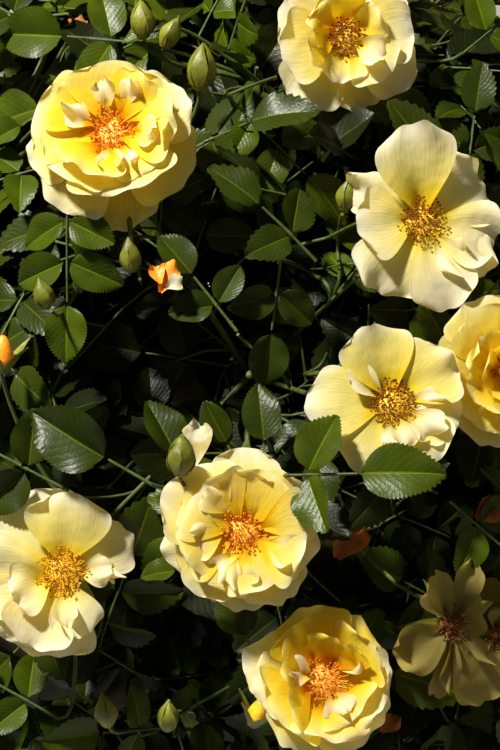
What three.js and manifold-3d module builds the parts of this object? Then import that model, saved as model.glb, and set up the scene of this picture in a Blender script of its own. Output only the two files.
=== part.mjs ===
// A yellow-flowered rose bush, rooted in the ground: a low mound of compound leaves and open, ruffled
// blooms, carried by tapering canes that all leave one short stem.
// Millimetres, +Z up, origin in the middle of the stem's flat cut at ground level. The front is -Y.
import * as THREE from "three";
import { mergeVertices } from "three/addons/utils/BufferGeometryUtils.js";
import Module from "manifold-3d";

// The crown: an egg-shaped mound with a bulge for each mass of foliage
const crownMiddle = 266; // height of its middle above the ground
const crownRadius = 330; // leaf surface, level with the middle
const crownRise = 285; // leaf surface, above the middle
const crownDrop = 225; // leaf surface, below the middle
const moundDip = 0.1; // how far the leaf surface falls back between two masses, as a share
const moundSpread = 40; // angle from the middle of a mass to where it has fallen back, in degrees
const lowestLeaves = -40; // elevation of the lowest shoots, in degrees

// The masses of foliage, in rings from the top down. An elevation past 90 degrees leans to the back.
const rings = [
  { name: "top", count: 1, elevation: 104, firstTurn: 0, stubRise: 88, stubFoot: 60, stubOut: 0 },
  { name: "shoulder", count: 4, elevation: 42, firstTurn: 0, stubRise: 75, stubFoot: 50, stubOut: 7 },
  { name: "skirt", count: 5, elevation: -8, firstTurn: 36, stubRise: 60, stubFoot: 34, stubOut: 12 },
];

// Stem and canes
const footRadius = 27;
const stemRadius = 17;
const knobRadius = 21;
const knobHeight = 46;
const stemTop = 64;
const stubLength = 32;
const caneFootRadius = 5.2;
const caneTipRadius = 3.4;
const canePull = 0.36; // how far a cane's bend reaches from each end, as a share of its span
const massRoot = 0.42; // where a cane ends and its mass begins, as a share of the crown's reach
const massStemEnd = 0.74; // where the stem inside a mass ends
const seat = 0.3; // clearance between two pieces that meet face to face
const spaceMargin = 0.6; // each mass keeps this far inside its own space
const limbMargin = 3; // foliage keeps this far from every limb
const bloomMargin = 4; // and this far from every bloom but its own

// Shoots, leaves and blooms
const shootCount = 98;
const shootRadius = 2.2;
const shootSteps = 2;
const forkPull = 0.3; // how far a shoot's bend reaches from its fork, as a share of its span
const bloomPull = 0.4; // and from its bloom
const lowestFork = 0.09; // where shoots start on the stem of a mass, as a share of it
const lowestBlooms = -0.42; // height of the lowest blooms, as the sine of their elevation
const leafyEvery = 5; // one shoot in so many carries leaves alone
const leavesPerShoot = 2;
const leafAttempts = 40;
const pairedAttempts = 20; // the attempts that take the pairs of leaflets that the leaf wishes for
const scantAttempts = 32; // then one pair up to here, and after that a single leaflet
const firstLeaf = 0.56; // place of the first leaf, as a share of its shoot
const lastLeaf = 0.84; // place of the last leaf under a bloom
const twoPairs = 0.75; // chance that a leaf wishes for two pairs of leaflets
const leafSteepest = 0.8; // a leaf never lies closer than this to the line that it faces along, as a cosine
const leafRise = 0.3; // how far a leaf leans along its shoot
const leafThickness = 1;
const petiole = 14;
const petioleHalf = 0.7;
const leafletLength = 47;
const leafletWidth = 36;
const leafletStep = 26; // between two pairs of leaflets along the leaf's rib
const leafHeart = 62; // from a leaf's root to the middle of its blade
const leafSag = 12; // how far a leaf's tip droops
const leafFold = 0.12; // how far its sides droop, as a share of their width
const bloomRadius = 36;
const bloomLift = 0.05; // blooms stand this share of the reach proud of the leaves

// The side that faces the viewer: where the eye is, and the blooms that are seen there
const viewRise = 42; // elevation of the eye, in degrees
const eyeDistance = 750; // from the crown's surface
const sightHalvings = 30;
const facingHalfWidth = 155;
const facingHalfHeight = 212;
const facingDepth = 198;
const facingBlooms = [
  // across and up from the middle of the view, diameter, lean to the right and upwards in degrees, depth
  { across: -64, up: 110, size: 83, right: -6, rise: 12, depth: 0 },
  { across: 45, up: 153, size: 74, right: 4, rise: -6, depth: 0 },
  { across: 80, up: 72, size: 76, right: 6, rise: 4, depth: 0 },
  { across: 62, up: -10, size: 74, right: 4, rise: 16, depth: 8 },
  { across: 119, up: 2, size: 66, right: 10, rise: 0, depth: 0 },
  { across: -91, up: -93, size: 78, right: 4, rise: 4, depth: 0 },
  { across: -3, up: -73, size: 74, right: 0, rise: 4, depth: 0 },
  { across: 34, up: -140, size: 70, right: 4, rise: 14, depth: 0 },
  { across: 95, up: -115, size: 60, right: 22, rise: 4, depth: 0 },
  { across: 107, up: -112, size: 60, right: 24, rise: 0, depth: 26 },
];

const goldenAngle = Math.PI * (3 - Math.sqrt(5));
const radians = THREE.MathUtils.degToRad;
const middle = new THREE.Vector3(0, 0, crownMiddle);
const up = new THREE.Vector3(0, 0, 1);

const wasm = await Module();
wasm.setup();

// A seeded series of chances, the same on every run
class Chance {
  constructor(seed) {
    this.state = (seed * 7919 + 4177) % 2147483647;
    this.next();
    this.next();
  }

  next() {
    this.state = (this.state * 48271) % 2147483647;
    return this.state / 2147483647;
  }

  between(low, high) {
    return low + (high - low) * this.next();
  }
}

// A unit vector from its turn about the bush, with 0 to the front, and its elevation, both in degrees
function heading(turn, elevation) {
  const [t, e] = [radians(turn), radians(elevation)];
  return new THREE.Vector3(Math.sin(t) * Math.cos(e), -Math.cos(t) * Math.cos(e), Math.sin(e));
}

const masses = rings.flatMap((ring) =>
  Array.from({ length: ring.count }, (_, i) => {
    const turn = ring.firstTurn + (360 / ring.count) * i;
    return {
      name: ring.count > 1 ? `${ring.name}_${i + 1}` : ring.name,
      ring,
      direction: heading(turn, ring.elevation),
      stubDirection: heading(turn, ring.stubRise),
      outward: heading(turn, 0),
    };
  }),
);

// Distance from the crown's middle to its leaf surface
function crownReach(direction) {
  const level = Math.hypot(direction.x, direction.y) / crownRadius;
  const upright = direction.z / (direction.z > 0 ? crownRise : crownDrop);
  const closest = Math.max(...masses.map((mass) => mass.direction.dot(direction)));
  const fall = Math.min(1, Math.acos(Math.min(1, closest)) / radians(moundSpread));
  return (1 - moundDip * fall * fall) / Math.hypot(level, upright);
}

function alongFrom(point, direction, distance) {
  return point.clone().addScaledVector(direction, distance);
}

function crownPoint(direction, share) {
  return alongFrom(middle, direction, crownReach(direction) * share);
}

// The direction that is nearest to `wish` and square to `axis`
function squareTo(axis, wish) {
  return wish.clone().addScaledVector(axis, -wish.dot(axis)).normalize();
}

function solidOf(geometry) {
  const bare = new THREE.BufferGeometry().setAttribute("position", geometry.getAttribute("position"));
  bare.setIndex(geometry.index);
  const merged = mergeVertices(bare, 1e-3);
  return new wasm.Manifold(
    new wasm.Mesh({
      numProp: 3,
      vertProperties: merged.getAttribute("position").array,
      triVerts: new Uint32Array(merged.index.array),
    }),
  );
}

function geometryOf(solid) {
  const mesh = solid.getMesh();
  const geometry = new THREE.BufferGeometry();
  geometry.setAttribute("position", new THREE.BufferAttribute(new Float32Array(mesh.vertProperties), 3));
  geometry.setIndex(new THREE.BufferAttribute(new Uint32Array(mesh.triVerts), 1));
  geometry.computeVertexNormals();
  return geometry;
}

// Joins solids, and keeps the one closed body that holds the most: loose scraps and sealed hollows go
function fuse(solids) {
  const bodies = solids.reduce((all, next) => all.add(next)).decompose();
  return bodies.reduce((best, body) => (body.volume() > best.volume() ? body : best));
}

// A closed tube along a curve that tapers from one radius to the other, with flat ends
function taperedTube(curve, radiusFrom, radiusTo, sides, steps) {
  const frames = curve.computeFrenetFrames(steps);
  const positions = [];
  const faces = [];
  for (let step = 0; step <= steps; step++) {
    const centre = curve.getPointAt(step / steps);
    const radius = THREE.MathUtils.lerp(radiusFrom, radiusTo, step / steps);
    for (let side = 0; side < sides; side++) {
      const angle = (side / sides) * 2 * Math.PI;
      const corner = alongFrom(centre, frames.normals[step], Math.cos(angle) * radius);
      corner.addScaledVector(frames.binormals[step], Math.sin(angle) * radius);
      positions.push(corner.x, corner.y, corner.z);
      if (step < steps) {
        const [a, b] = [step * sides + side, step * sides + ((side + 1) % sides)];
        faces.push(a, b, a + sides, b, b + sides, a + sides);
      }
    }
  }
  const last = steps * sides;
  for (let side = 1; side < sides - 1; side++) {
    faces.push(0, side + 1, side, last, last + side, last + side + 1);
  }
  const tube = new THREE.BufferGeometry();
  tube.setAttribute("position", new THREE.Float32BufferAttribute(positions, 3));
  tube.setIndex(faces);
  return tube;
}

// The stem: a flared foot, a knob where the canes start, and a stub for each cane
function stubOf(mass) {
  const foot = new THREE.Vector3(0, 0, mass.ring.stubFoot).addScaledVector(mass.outward, mass.ring.stubOut);
  return new THREE.LineCurve3(foot, alongFrom(foot, mass.stubDirection, stubLength));
}

function stemSolid() {
  const profile = [
    [0, 0],
    [footRadius, 0],
    [stemRadius + 2, 12],
    [stemRadius, 26],
    [knobRadius, knobHeight],
    [knobRadius * 0.6, stemTop - 4],
    [0, stemTop],
  ].map(([radius, height]) => new THREE.Vector2(radius, height));
  const body = new THREE.LatheGeometry(profile, 9).rotateX(Math.PI / 2);
  const stubs = masses.map((mass) => taperedTube(stubOf(mass), caneFootRadius * 1.4, caneFootRadius, 6, 1));
  return fuse([body, ...stubs].map(solidOf));
}

// A cane: one tapering limb from its stub to the foot of its mass
function caneCurve(mass) {
  const foot = alongFrom(stubOf(mass).v2, mass.stubDirection, seat);
  const tip = crownPoint(mass.direction, massRoot);
  const pull = foot.distanceTo(tip) * canePull;
  return new THREE.CubicBezierCurve3(
    foot,
    alongFrom(foot, mass.stubDirection, pull),
    alongFrom(tip, mass.direction, -pull),
    tip,
  );
}

for (const mass of masses) {
  mass.cane = caneCurve(mass);
  mass.canePoints = mass.cane.getSpacedPoints(24);
  const from = alongFrom(mass.cane.v3, mass.direction, seat);
  mass.stem = new THREE.LineCurve3(from, crownPoint(mass.direction, massStemEnd));
}

const caneSolid = (mass) => solidOf(taperedTube(mass.cane, caneFootRadius, caneTipRadius, 6, 6));

// Where the blooms and leafy shoots end: the blooms that face the viewer, then an even spread elsewhere
const viewDirection = heading(0, viewRise);
const viewRight = new THREE.Vector3(1, 0, 0);
const viewUp = viewDirection.clone().cross(viewRight);
const viewMiddle = alongFrom(middle, viewDirection, crownReach(viewDirection));
const eye = alongFrom(viewMiddle, viewDirection, eyeDistance);

// The point on the crown, or `depth` inside it, that the eye sees at this place in its view
function seenPoint(across, upward, depth) {
  const target = alongFrom(viewMiddle, viewRight, across).addScaledVector(viewUp, upward);
  const sight = target.sub(eye).normalize();
  let [near, far] = [eyeDistance * 0.6, eyeDistance + crownRadius];
  for (let halving = 0; halving < sightHalvings; halving++) {
    const half = (near + far) / 2;
    const offset = alongFrom(eye, sight, half).sub(middle);
    const surface = crownReach(offset.clone().normalize()) * (1 + bloomLift);
    if (offset.length() > surface) near = half;
    else far = half;
  }
  return alongFrom(eye, sight, near + depth);
}

function inView(point) {
  const sight = point.clone().sub(eye);
  if (sight.length() > eyeDistance + facingDepth) return false;
  const scale = -eyeDistance / sight.dot(viewDirection);
  const across = sight.dot(viewRight) * scale;
  const upward = sight.dot(viewUp) * scale;
  return Math.abs(across) < facingHalfWidth && Math.abs(upward) < facingHalfHeight;
}

function massAt(direction) {
  return masses.reduce((best, mass) =>
    mass.direction.dot(direction) > best.direction.dot(direction) ? mass : best,
  );
}

function facingSites() {
  return facingBlooms.map((bloom, i) => {
    const centre = seenPoint(bloom.across, bloom.up, bloom.depth);
    const facing = viewDirection.clone();
    facing.addScaledVector(viewRight, Math.tan(radians(bloom.right)));
    facing.addScaledVector(viewUp, Math.tan(radians(bloom.rise)));
    facing.normalize();
    return { number: i, centre, facing, radius: bloom.size / 2, blooms: true };
  });
}

function spreadSites() {
  const lowest = Math.sin(radians(lowestLeaves));
  const sites = [];
  for (let i = 0; i < shootCount; i++) {
    const chance = new Chance(i + 1);
    const height = 1 - ((i + 0.5) / shootCount) * (1 - lowest);
    const turn = i * goldenAngle + chance.between(-0.12, 0.12);
    const level = Math.sqrt(1 - height * height);
    const direction = new THREE.Vector3(Math.sin(turn) * level, -Math.cos(turn) * level, height);
    const blooms = i % leafyEvery !== 0 && height > lowestBlooms;
    const share = 1 + (blooms ? bloomLift : -0.12) + chance.between(-0.04, 0.03);
    const centre = crownPoint(direction, share);
    const facing = direction.clone().addScaledVector(up, chance.between(0.2, 0.6)).normalize();
    const radius = bloomRadius * chance.between(0.88, 1.08);
    if (!blooms || !inView(centre)) sites.push({ number: 100 + i, centre, facing, radius, blooms });
  }
  return sites;
}

// Square to each wall between a mass and one of its neighbours, pointing into the mass's own space
for (const mass of masses) {
  const others = masses.filter((other) => other !== mass);
  mass.walls = others.map((other) => mass.direction.clone().sub(other.direction).normalize());
}

// A site that the wall of its mass's space would cut is drawn back from it, at the same share of the reach
function drawBack(site) {
  const offset = site.centre.clone().sub(middle);
  const share = offset.length() / crownReach(offset.clone().normalize());
  for (const wall of site.mass.walls) {
    const room = wall.dot(offset) - site.radius - spaceMargin;
    if (room < 0) offset.addScaledVector(wall, -room);
  }
  site.direction = offset.normalize();
  site.centre = crownPoint(site.direction, share);
}

const sites = [...facingSites(), ...spreadSites()];
for (const site of sites) {
  site.mass = massAt(site.centre.clone().sub(middle));
  drawBack(site);
  site.spread = site.direction.angleTo(site.mass.direction);
}

// The widest shoots of a mass fork lowest on its stem
for (const mass of masses) {
  const own = sites.filter((site) => site.mass === mass).sort((a, b) => b.spread - a.spread);
  own.forEach((site, rank) => (site.fork = lowestFork + (1 - lowestFork) * ((rank + 0.5) / own.length)));
}

// A shoot curves from the stem of its mass to the back of its bloom, or to its last leaf
function shootCurve(site) {
  const { stem, direction: massDirection } = site.mass;
  const fork = stem.getPoint(site.fork);
  const end = alongFrom(site.centre, site.facing, -site.radius * (site.blooms ? 0.1 : 0));
  const length = fork.distanceTo(end);
  const leave = massDirection.clone().add(site.direction).normalize();
  return new THREE.CubicBezierCurve3(
    fork,
    alongFrom(fork, leave, length * forkPull),
    alongFrom(end, site.facing, -length * bloomPull),
    end,
  );
}

// True where every sample keeps to the mass's own space, clear of all limbs and of all blooms but its own
function keepsToSpace(samples, site) {
  return samples.every((sample) => {
    const offset = sample.clone().sub(middle);
    const isClearOf = (point, room) => point.distanceTo(sample) > room;
    return (
      site.mass.walls.every((wall) => wall.dot(offset) > spaceMargin) &&
      masses.every((mass) => mass.canePoints.every((p) => isClearOf(p, caneFootRadius + limbMargin))) &&
      sites.every((s) => s === site || !s.blooms || isClearOf(s.centre, s.radius + bloomMargin))
    );
  });
}

// Corners of a geometry, and the middles of its triangles and of their sides
function samplesOf(geometry) {
  const position = geometry.getAttribute("position");
  const index = geometry.index ? geometry.index.array : Array.from({ length: position.count }, (_, i) => i);
  const corner = (i) => new THREE.Vector3().fromBufferAttribute(position, index[i]);
  const samples = [];
  for (let i = 0; i < index.length; i += 3) {
    const [a, b, c] = [corner(i), corner(i + 1), corner(i + 2)];
    samples.push(a, a.clone().lerp(b, 0.5), a.clone().add(b).add(c).divideScalar(3));
  }
  return samples;
}

// One side of a compound leaf that lies along +X: a rib with pairs of leaflets, then half of the one at its
// tip. Each corner names the place on the rib that its vein comes from.
function leafSide(pairs) {
  const side = [{ x: 0, y: petioleHalf, vein: 0 }];
  const veins = [0];
  for (let pair = 0; pair < pairs; pair++) {
    const root = petiole + pair * leafletStep;
    const vein = veins.push(root + leafletWidth * 0.2) - 1;
    side.push({ x: root + leafletLength * 0.1, y: leafletWidth * 0.42, vein });
    side.push({ x: root + leafletLength * 0.5, y: leafletLength * 0.86, vein });
    side.push({ x: root + leafletWidth * 0.72, y: leafletWidth * 0.3, vein });
    side.push({ x: root + leafletStep - 3, y: petioleHalf, vein });
  }
  const tipRoot = petiole + pairs * leafletStep - 2;
  const vein = veins.push(tipRoot + leafletLength * 0.45) - 1;
  side.push({ x: tipRoot + leafletLength * 0.45, y: leafletWidth / 2, vein });
  return { side, veins, tip: tipRoot + leafletLength };
}

// A closed thin leaf: its underside is flat, and its upper side rises to the rib
function flatLeaf(pairs) {
  const { side, veins, tip } = leafSide(pairs);
  const count = side.length;
  const outline = [
    ...side.map(({ x, y }) => new THREE.Vector2(x, -y)),
    new THREE.Vector2(tip, 0),
    ...side.map(({ x, y }) => new THREE.Vector2(x, y)).reverse(),
  ];
  const below = outline.flatMap(({ x, y }) => [x, y, -leafThickness / 2]);
  const ribs = veins.flatMap((x) => [x, 0, leafThickness / 2]);
  const rib = (vein) => outline.length + vein;
  const faces = THREE.ShapeUtils.triangulateShape(outline, []).flatMap(([i, j, k]) => [i, k, j]);
  faces.push(rib(0), outline.length - 1, 0);
  const corners = [...side, { vein: veins.length - 1 }];
  for (let i = 0; i < count; i++) {
    const mirror = outline.length - 1 - i;
    const vein = corners[i + 1].vein;
    faces.push(rib(vein), i, i + 1, rib(vein), mirror - 1, mirror);
    if (corners[i].vein !== vein) {
      faces.push(rib(vein - 1), i, rib(vein), rib(vein - 1), rib(vein), mirror);
    }
  }
  const leaf = new THREE.BufferGeometry();
  leaf.setAttribute("position", new THREE.Float32BufferAttribute([...below, ...ribs], 3));
  return leaf.setIndex(faces);
}

// A leaf whose rib starts at `root` and runs along `axis`, and whose upper side looks towards `facing`
function leafGeometry(pairs, size, root, axis, facing) {
  const leaf = flatLeaf(pairs);
  const length = petiole + pairs * leafletStep + leafletLength;
  const position = leaf.getAttribute("position");
  for (let i = 0; i < position.count; i++) {
    const along = position.getX(i) / length;
    const droop = leafSag * along * along + Math.abs(position.getY(i)) * leafFold;
    position.setZ(i, position.getZ(i) - droop);
  }
  const normal = squareTo(axis, facing);
  const place = new THREE.Matrix4().makeBasis(axis, normal.clone().cross(axis), normal);
  return leaf.scale(size, size, 1).applyMatrix4(place.setPosition(root));
}

// An open bloom: an outer ring of five petals, and an inner cup whose petals stand between them
function bloomGeometry(site) {
  const petals = 5;
  const profile = [
    [0, -0.24],
    [1, 0.22],
    [0.6, 0.1],
    [0.64, 0.5],
    [0, 0.16],
  ].map(([radius, height]) => new THREE.Vector2(radius * site.radius, height * site.radius));
  const bloom = new THREE.LatheGeometry(profile, petals * 2);
  const position = bloom.getAttribute("position");
  for (let i = 0; i < position.count; i++) {
    const ring = i % profile.length;
    const spoke = Math.floor(i / profile.length) % 2;
    const isTip = ring === 3 ? spoke === 1 : spoke === 0;
    const pull = isTip ? 1 : 0.8;
    position.setX(i, position.getX(i) * pull);
    position.setZ(i, position.getZ(i) * pull);
  }
  const across = squareTo(site.facing, up);
  const place = new THREE.Matrix4().makeBasis(across, site.facing, across.clone().cross(site.facing));
  place.setPosition(site.centre);
  return bloom.rotateY(new Chance(site.number + 5).between(0, 1)).applyMatrix4(place);
}

// True where the solid touches none of the others
function isClear(solid, others) {
  return others.every((other) => solid.intersect(other).isEmpty());
}

// Later attempts try a smaller leaf: one pair of leaflets, and then a single leaflet
function pairsAt(attempt, wish) {
  if (attempt < pairedAttempts) return wish;
  return attempt < scantAttempts ? 1 : 0;
}

// The leaves of a shoot. Each is turned round it to where it fits with most room, or is skipped.
function shootLeaves(site, curve, others, neighbours) {
  const chance = new Chance(site.number + 500);
  const leaves = [];
  const wanted = site.blooms ? leavesPerShoot : leavesPerShoot + 1;
  for (let i = 0; i < wanted; i++) {
    const along = firstLeaf + ((site.blooms ? lastLeaf : 1) - firstLeaf) * (i / leavesPerShoot);
    const root = curve.getPoint(along);
    const tangent = curve.getTangent(along);
    const firstTurn = chance.between(0, 2 * Math.PI);
    const pairs = chance.next() < twoPairs ? 2 : 1;
    const size = chance.between(0.92, 1.08);
    let best = null;
    for (let attempt = 0; attempt < leafAttempts; attempt++) {
      const sideways = squareTo(tangent, up).applyAxisAngle(tangent, firstTurn + attempt * goldenAngle);
      const axis = sideways.addScaledVector(tangent, leafRise).normalize();
      const facing = site.direction.clone().addScaledVector(up, 0.5).normalize();
      if (Math.abs(axis.dot(facing)) > leafSteepest) continue;
      const heart = alongFrom(root, axis, leafHeart);
      const room = Math.min(...neighbours.map((point) => point.distanceTo(heart)));
      if (best && (best.room >= room || attempt >= scantAttempts)) continue;
      const geometry = leafGeometry(pairsAt(attempt, pairs), size, root, axis, facing);
      if (!keepsToSpace(samplesOf(geometry), site)) continue;
      const solid = solidOf(geometry);
      if (isClear(solid, [...others, ...leaves])) best = { room, heart, solid };
    }
    if (!best) continue;
    leaves.push(best.solid);
    neighbours.push(best.heart);
  }
  return leaves;
}

// A mass of foliage: its stem, and the shoots that keep to its space with their leaves and blooms
function massSolid(mass) {
  const stem = solidOf(taperedTube(mass.stem, caneTipRadius, caneTipRadius * 0.6, 5, 1));
  const shoots = [];
  for (const site of sites.filter((s) => s.mass === mass)) {
    const curve = shootCurve(site);
    const shoot = taperedTube(curve, shootRadius * 1.15, shootRadius * 0.9, 3, shootSteps);
    if (!keepsToSpace(samplesOf(shoot).slice(0, -6), site)) continue;
    const pieces = [solidOf(shoot)];
    if (site.blooms) pieces.push(solidOf(bloomGeometry(site)));
    shoots.push({ site, curve, pieces });
  }
  const leaves = [];
  const neighbours = sites.filter((site) => site.blooms).map((site) => site.centre);
  for (const shoot of shoots) {
    const others = shoots.filter((s) => s !== shoot).flatMap((s) => s.pieces);
    leaves.push(...shootLeaves(shoot.site, shoot.curve, [...others, ...leaves], neighbours));
  }
  return fuse([stem, ...shoots.flatMap((s) => s.pieces), ...leaves]);
}

const bark = new THREE.MeshStandardMaterial({ color: 0x6a6a3c, roughness: 0.85, metalness: 0 });
const caneGreen = new THREE.MeshStandardMaterial({ color: 0x5f7a35, roughness: 0.6, metalness: 0 });
const foliage = new THREE.MeshStandardMaterial({ color: 0x35571b, roughness: 0.45, metalness: 0 });

const bush = new THREE.Group();

function addNode(name, solid, material) {
  const mesh = new THREE.Mesh(geometryOf(solid), material);
  mesh.name = name;
  bush.add(mesh);
}

addNode("stem", stemSolid(), bark);
for (const mass of masses) {
  addNode(`cane_${mass.name}`, caneSolid(mass), caneGreen);
  addNode(`foliage_${mass.name}`, massSolid(mass), foliage);
}

export default bush;
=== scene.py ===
import math
from collections import namedtuple
from dataclasses import dataclass

import bmesh
import bpy
import numpy as np
from mathutils import Matrix, Vector, noise


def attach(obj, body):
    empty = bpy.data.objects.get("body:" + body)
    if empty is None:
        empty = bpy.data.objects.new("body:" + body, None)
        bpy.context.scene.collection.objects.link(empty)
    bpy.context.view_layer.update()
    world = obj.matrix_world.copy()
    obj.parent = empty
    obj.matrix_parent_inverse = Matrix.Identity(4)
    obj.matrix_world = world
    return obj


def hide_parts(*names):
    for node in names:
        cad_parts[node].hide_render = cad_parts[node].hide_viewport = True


bl_info = {
    "name": "Rose bush",
    "version": (1, 0, 0),
    "blender": (4, 5, 0),
    "location": "3D View > Sidebar > Rose bush",
    "description": "Grows a yellow-flowered rose bush on its packed model: bark, twigs, leaves and blooms",
    "category": "Object",
}

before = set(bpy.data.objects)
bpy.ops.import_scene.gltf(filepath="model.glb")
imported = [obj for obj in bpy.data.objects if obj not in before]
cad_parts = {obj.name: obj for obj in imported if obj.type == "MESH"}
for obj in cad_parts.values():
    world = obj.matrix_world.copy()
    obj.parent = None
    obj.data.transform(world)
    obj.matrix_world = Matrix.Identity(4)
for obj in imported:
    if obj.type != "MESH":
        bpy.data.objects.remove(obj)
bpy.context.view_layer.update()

MM = 0.001
UP = Vector((0, 0, 1))
GOLDEN_ANGLE = math.pi * (3 - math.sqrt(5))
SLOPE_STEP = 0.01
CHANCE_LIMIT = 2**31 - 1
CHANCE_FACTOR = 48271

# The numbers that keep the series of chances of different things apart
PRICKLE_SEED = 71
FACING_BUD_SEED = 400
DRIED_PETAL_SEED = 500
PETAL_SEED = 900
STAMEN_SEED = 1900
BUD_SEED = 2700
TWIG_SEED = 3001
SHOOT_SEED = 5000
FACING_LEAF_SEED = 9000


def rows(names, *values):
    """Rows of values under their names. A row may leave out its last ones."""
    return [dict(zip(names.split(), row)) for row in values]


# The crown, as in the model: an egg-shaped mound with a bulge for each mass of foliage
CROWN_MIDDLE = Vector((0, 0, 266 * MM))
CROWN_RADIUS = 330 * MM
CROWN_RISE = 285 * MM
CROWN_DROP = 225 * MM
MOUND_DIP = 0.1
MOUND_SPREAD = math.radians(40)
LOWEST_LEAVES = math.radians(-40)
RINGS = rows(
    "name count elevation first_turn stub_rise stub_foot stub_out",
    ("top", 1, 104, 0, 88, 60, 0),
    ("shoulder", 4, 42, 0, 75, 50, 7),
    ("skirt", 5, -8, 36, 60, 34, 12),
)

# Stem, canes and the stems inside the masses
STUB_LENGTH = 32 * MM
CANE_FOOT_RADIUS = 5.2 * MM
CANE_TIP_RADIUS = 3.4 * MM
CANE_PULL = 0.36
MASS_ROOT = 0.42
MASS_STEM_END = 0.74
SEAT = 0.3 * MM
SPACE_MARGIN = 0.6 * MM

# Shoots
SHOOT_COUNT = 98
SHOOT_RADIUS = 1.5 * MM
LOWEST_FORK = 0.09
FORK_PULL = 0.3
BLOOM_PULL = 0.4
LOWEST_BLOOMS = -0.42
LEAFY_EVERY = 5
LEAFY_DROP = 0.12
FIRST_SPREAD_SITE = 100
BLOOM_RADIUS = 36 * MM
BLOOM_LIFT = 0.05

# The side that faces the viewer
VIEW_RISE = 42
EYE_DISTANCE = 750 * MM
SIGHT_HALVINGS = 30
FACING_HALF_WIDTH = 155 * MM
FACING_HALF_HEIGHT = 212 * MM
FACING_DEPTH = 198 * MM

# The blooms that are seen there: places from the middle of the view and diameters in mm, and their lean to
# the right and upwards in degrees
FACING_BLOOMS = rows(
    "across up size right rise depth kind",
    (-64, 110, 83, -6, 12, 0, "fresh"),
    (45, 153, 74, 4, -6, 0, "aged"),
    (80, 72, 76, 6, 4, 0, "pale"),
    (62, -10, 74, 4, 16, 8, "aged"),
    (119, 2, 66, 10, 0, 0, "fresh"),
    (-91, -93, 78, 4, 4, 0, "golden"),
    (-3, -73, 74, 0, 4, 0, "medium"),
    (34, -140, 70, 4, 14, 0, "medium"),
    (95, -115, 60, 22, 4, 0, "spent"),
    (107, -112, 60, 24, 0, 26, "spent"),
)
SPREAD_KINDS = ["fresh", "golden", "medium", "pale", "fresh", "aged", "medium"]


class Chance:
    """A seeded series of chances, the same as the model's."""

    def __init__(self, seed):
        self.state = (seed * 7919 + 4177) % CHANCE_LIMIT
        self.next()
        self.next()

    def next(self):
        self.state = (self.state * CHANCE_FACTOR) % CHANCE_LIMIT
        return self.state / CHANCE_LIMIT

    def between(self, low, high):
        return low + (high - low) * self.next()

    def vector(self, low, high):
        return Vector([self.between(low, high) for _ in range(3)])


class Mass:
    """One mass of foliage: its direction, its cane and the stem inside it."""

    def __init__(self, ring, index):
        turn = ring["first_turn"] + 360 / ring["count"] * index
        self.name = f"{ring['name']}_{index + 1}" if ring["count"] > 1 else ring["name"]
        self.direction = heading(turn, ring["elevation"])
        self.stub_direction = heading(turn, ring["stub_rise"])
        self.stub_foot = UP * ring["stub_foot"] * MM + heading(turn, 0) * ring["stub_out"] * MM


@dataclass
class Site:
    """Where a shoot ends: a bloom, or its last leaf."""

    number: int
    centre: Vector
    facing: Vector
    radius: float
    blooms: bool
    kind: str

    @property
    def seen(self):
        """True for the blooms that the eye sees, which are numbered first."""
        return self.number < len(FACING_BLOOMS)


def heading(turn, elevation):
    """A unit vector from its turn about the bush, with 0 to the front, and its elevation, in degrees."""
    t, e = math.radians(turn), math.radians(elevation)
    return Vector((math.sin(t) * math.cos(e), -math.cos(t) * math.cos(e), math.sin(e)))


MASSES = [Mass(ring, i) for ring in RINGS for i in range(ring["count"])]


def crown_reach(direction):
    """Distance from the crown's middle to its leaf surface."""
    level = math.hypot(direction.x, direction.y) / CROWN_RADIUS
    upright = direction.z / (CROWN_RISE if direction.z > 0 else CROWN_DROP)
    closest = max(mass.direction.dot(direction) for mass in MASSES)
    fall = min(1, math.acos(min(1, closest)) / MOUND_SPREAD)
    return (1 - MOUND_DIP * fall * fall) / math.hypot(level, upright)


def crown_point(direction, share):
    return CROWN_MIDDLE + direction * crown_reach(direction) * share


def square_to(axis, wish):
    """The direction that is nearest to the wish and square to the axis."""
    return (wish - axis * wish.dot(axis)).normalized()


def bend(start, pull_out, pull_in, end):
    """A cubic curve as a function of the share along it."""

    def at(t):
        s = 1 - t
        return start * s**3 + pull_out * 3 * s * s * t + pull_in * 3 * s * t * t + end * t**3

    return at


def slope(curve, t):
    return (curve(t + SLOPE_STEP) - curve(t - SLOPE_STEP)).normalized()


VIEW_DIRECTION = heading(0, VIEW_RISE)
VIEW_RIGHT = Vector((1, 0, 0))
VIEW_UP = VIEW_DIRECTION.cross(VIEW_RIGHT)
VIEW_MIDDLE = crown_point(VIEW_DIRECTION, 1)
EYE = VIEW_MIDDLE + VIEW_DIRECTION * EYE_DISTANCE


def seen_point(across, upward, depth):
    """The point on the lifted crown, or deeper in, that the eye sees at this place in its view."""
    target = VIEW_MIDDLE + VIEW_RIGHT * across + VIEW_UP * upward
    sight = (target - EYE).normalized()
    near, far = EYE_DISTANCE * 0.6, EYE_DISTANCE + CROWN_RADIUS
    for _ in range(SIGHT_HALVINGS):
        half = (near + far) / 2
        offset = EYE + sight * half - CROWN_MIDDLE
        if offset.length > crown_reach(offset.normalized()) * (1 + BLOOM_LIFT):
            near = half
        else:
            far = half
    return EYE + sight * (near + depth)


def view_place(point):
    """Where the eye sees a point: across and up on the view plane, and the distance from the eye."""
    sight = point - EYE
    scale = -EYE_DISTANCE / sight.dot(VIEW_DIRECTION)
    return sight.dot(VIEW_RIGHT) * scale, sight.dot(VIEW_UP) * scale, sight.length


def view_heading(degrees, toward=0.0):
    """A direction in the view plane that leans towards the eye."""
    turn = math.radians(degrees)
    across = VIEW_RIGHT * math.cos(turn) + VIEW_UP * math.sin(turn)
    return (across + VIEW_DIRECTION * toward).normalized()


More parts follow.
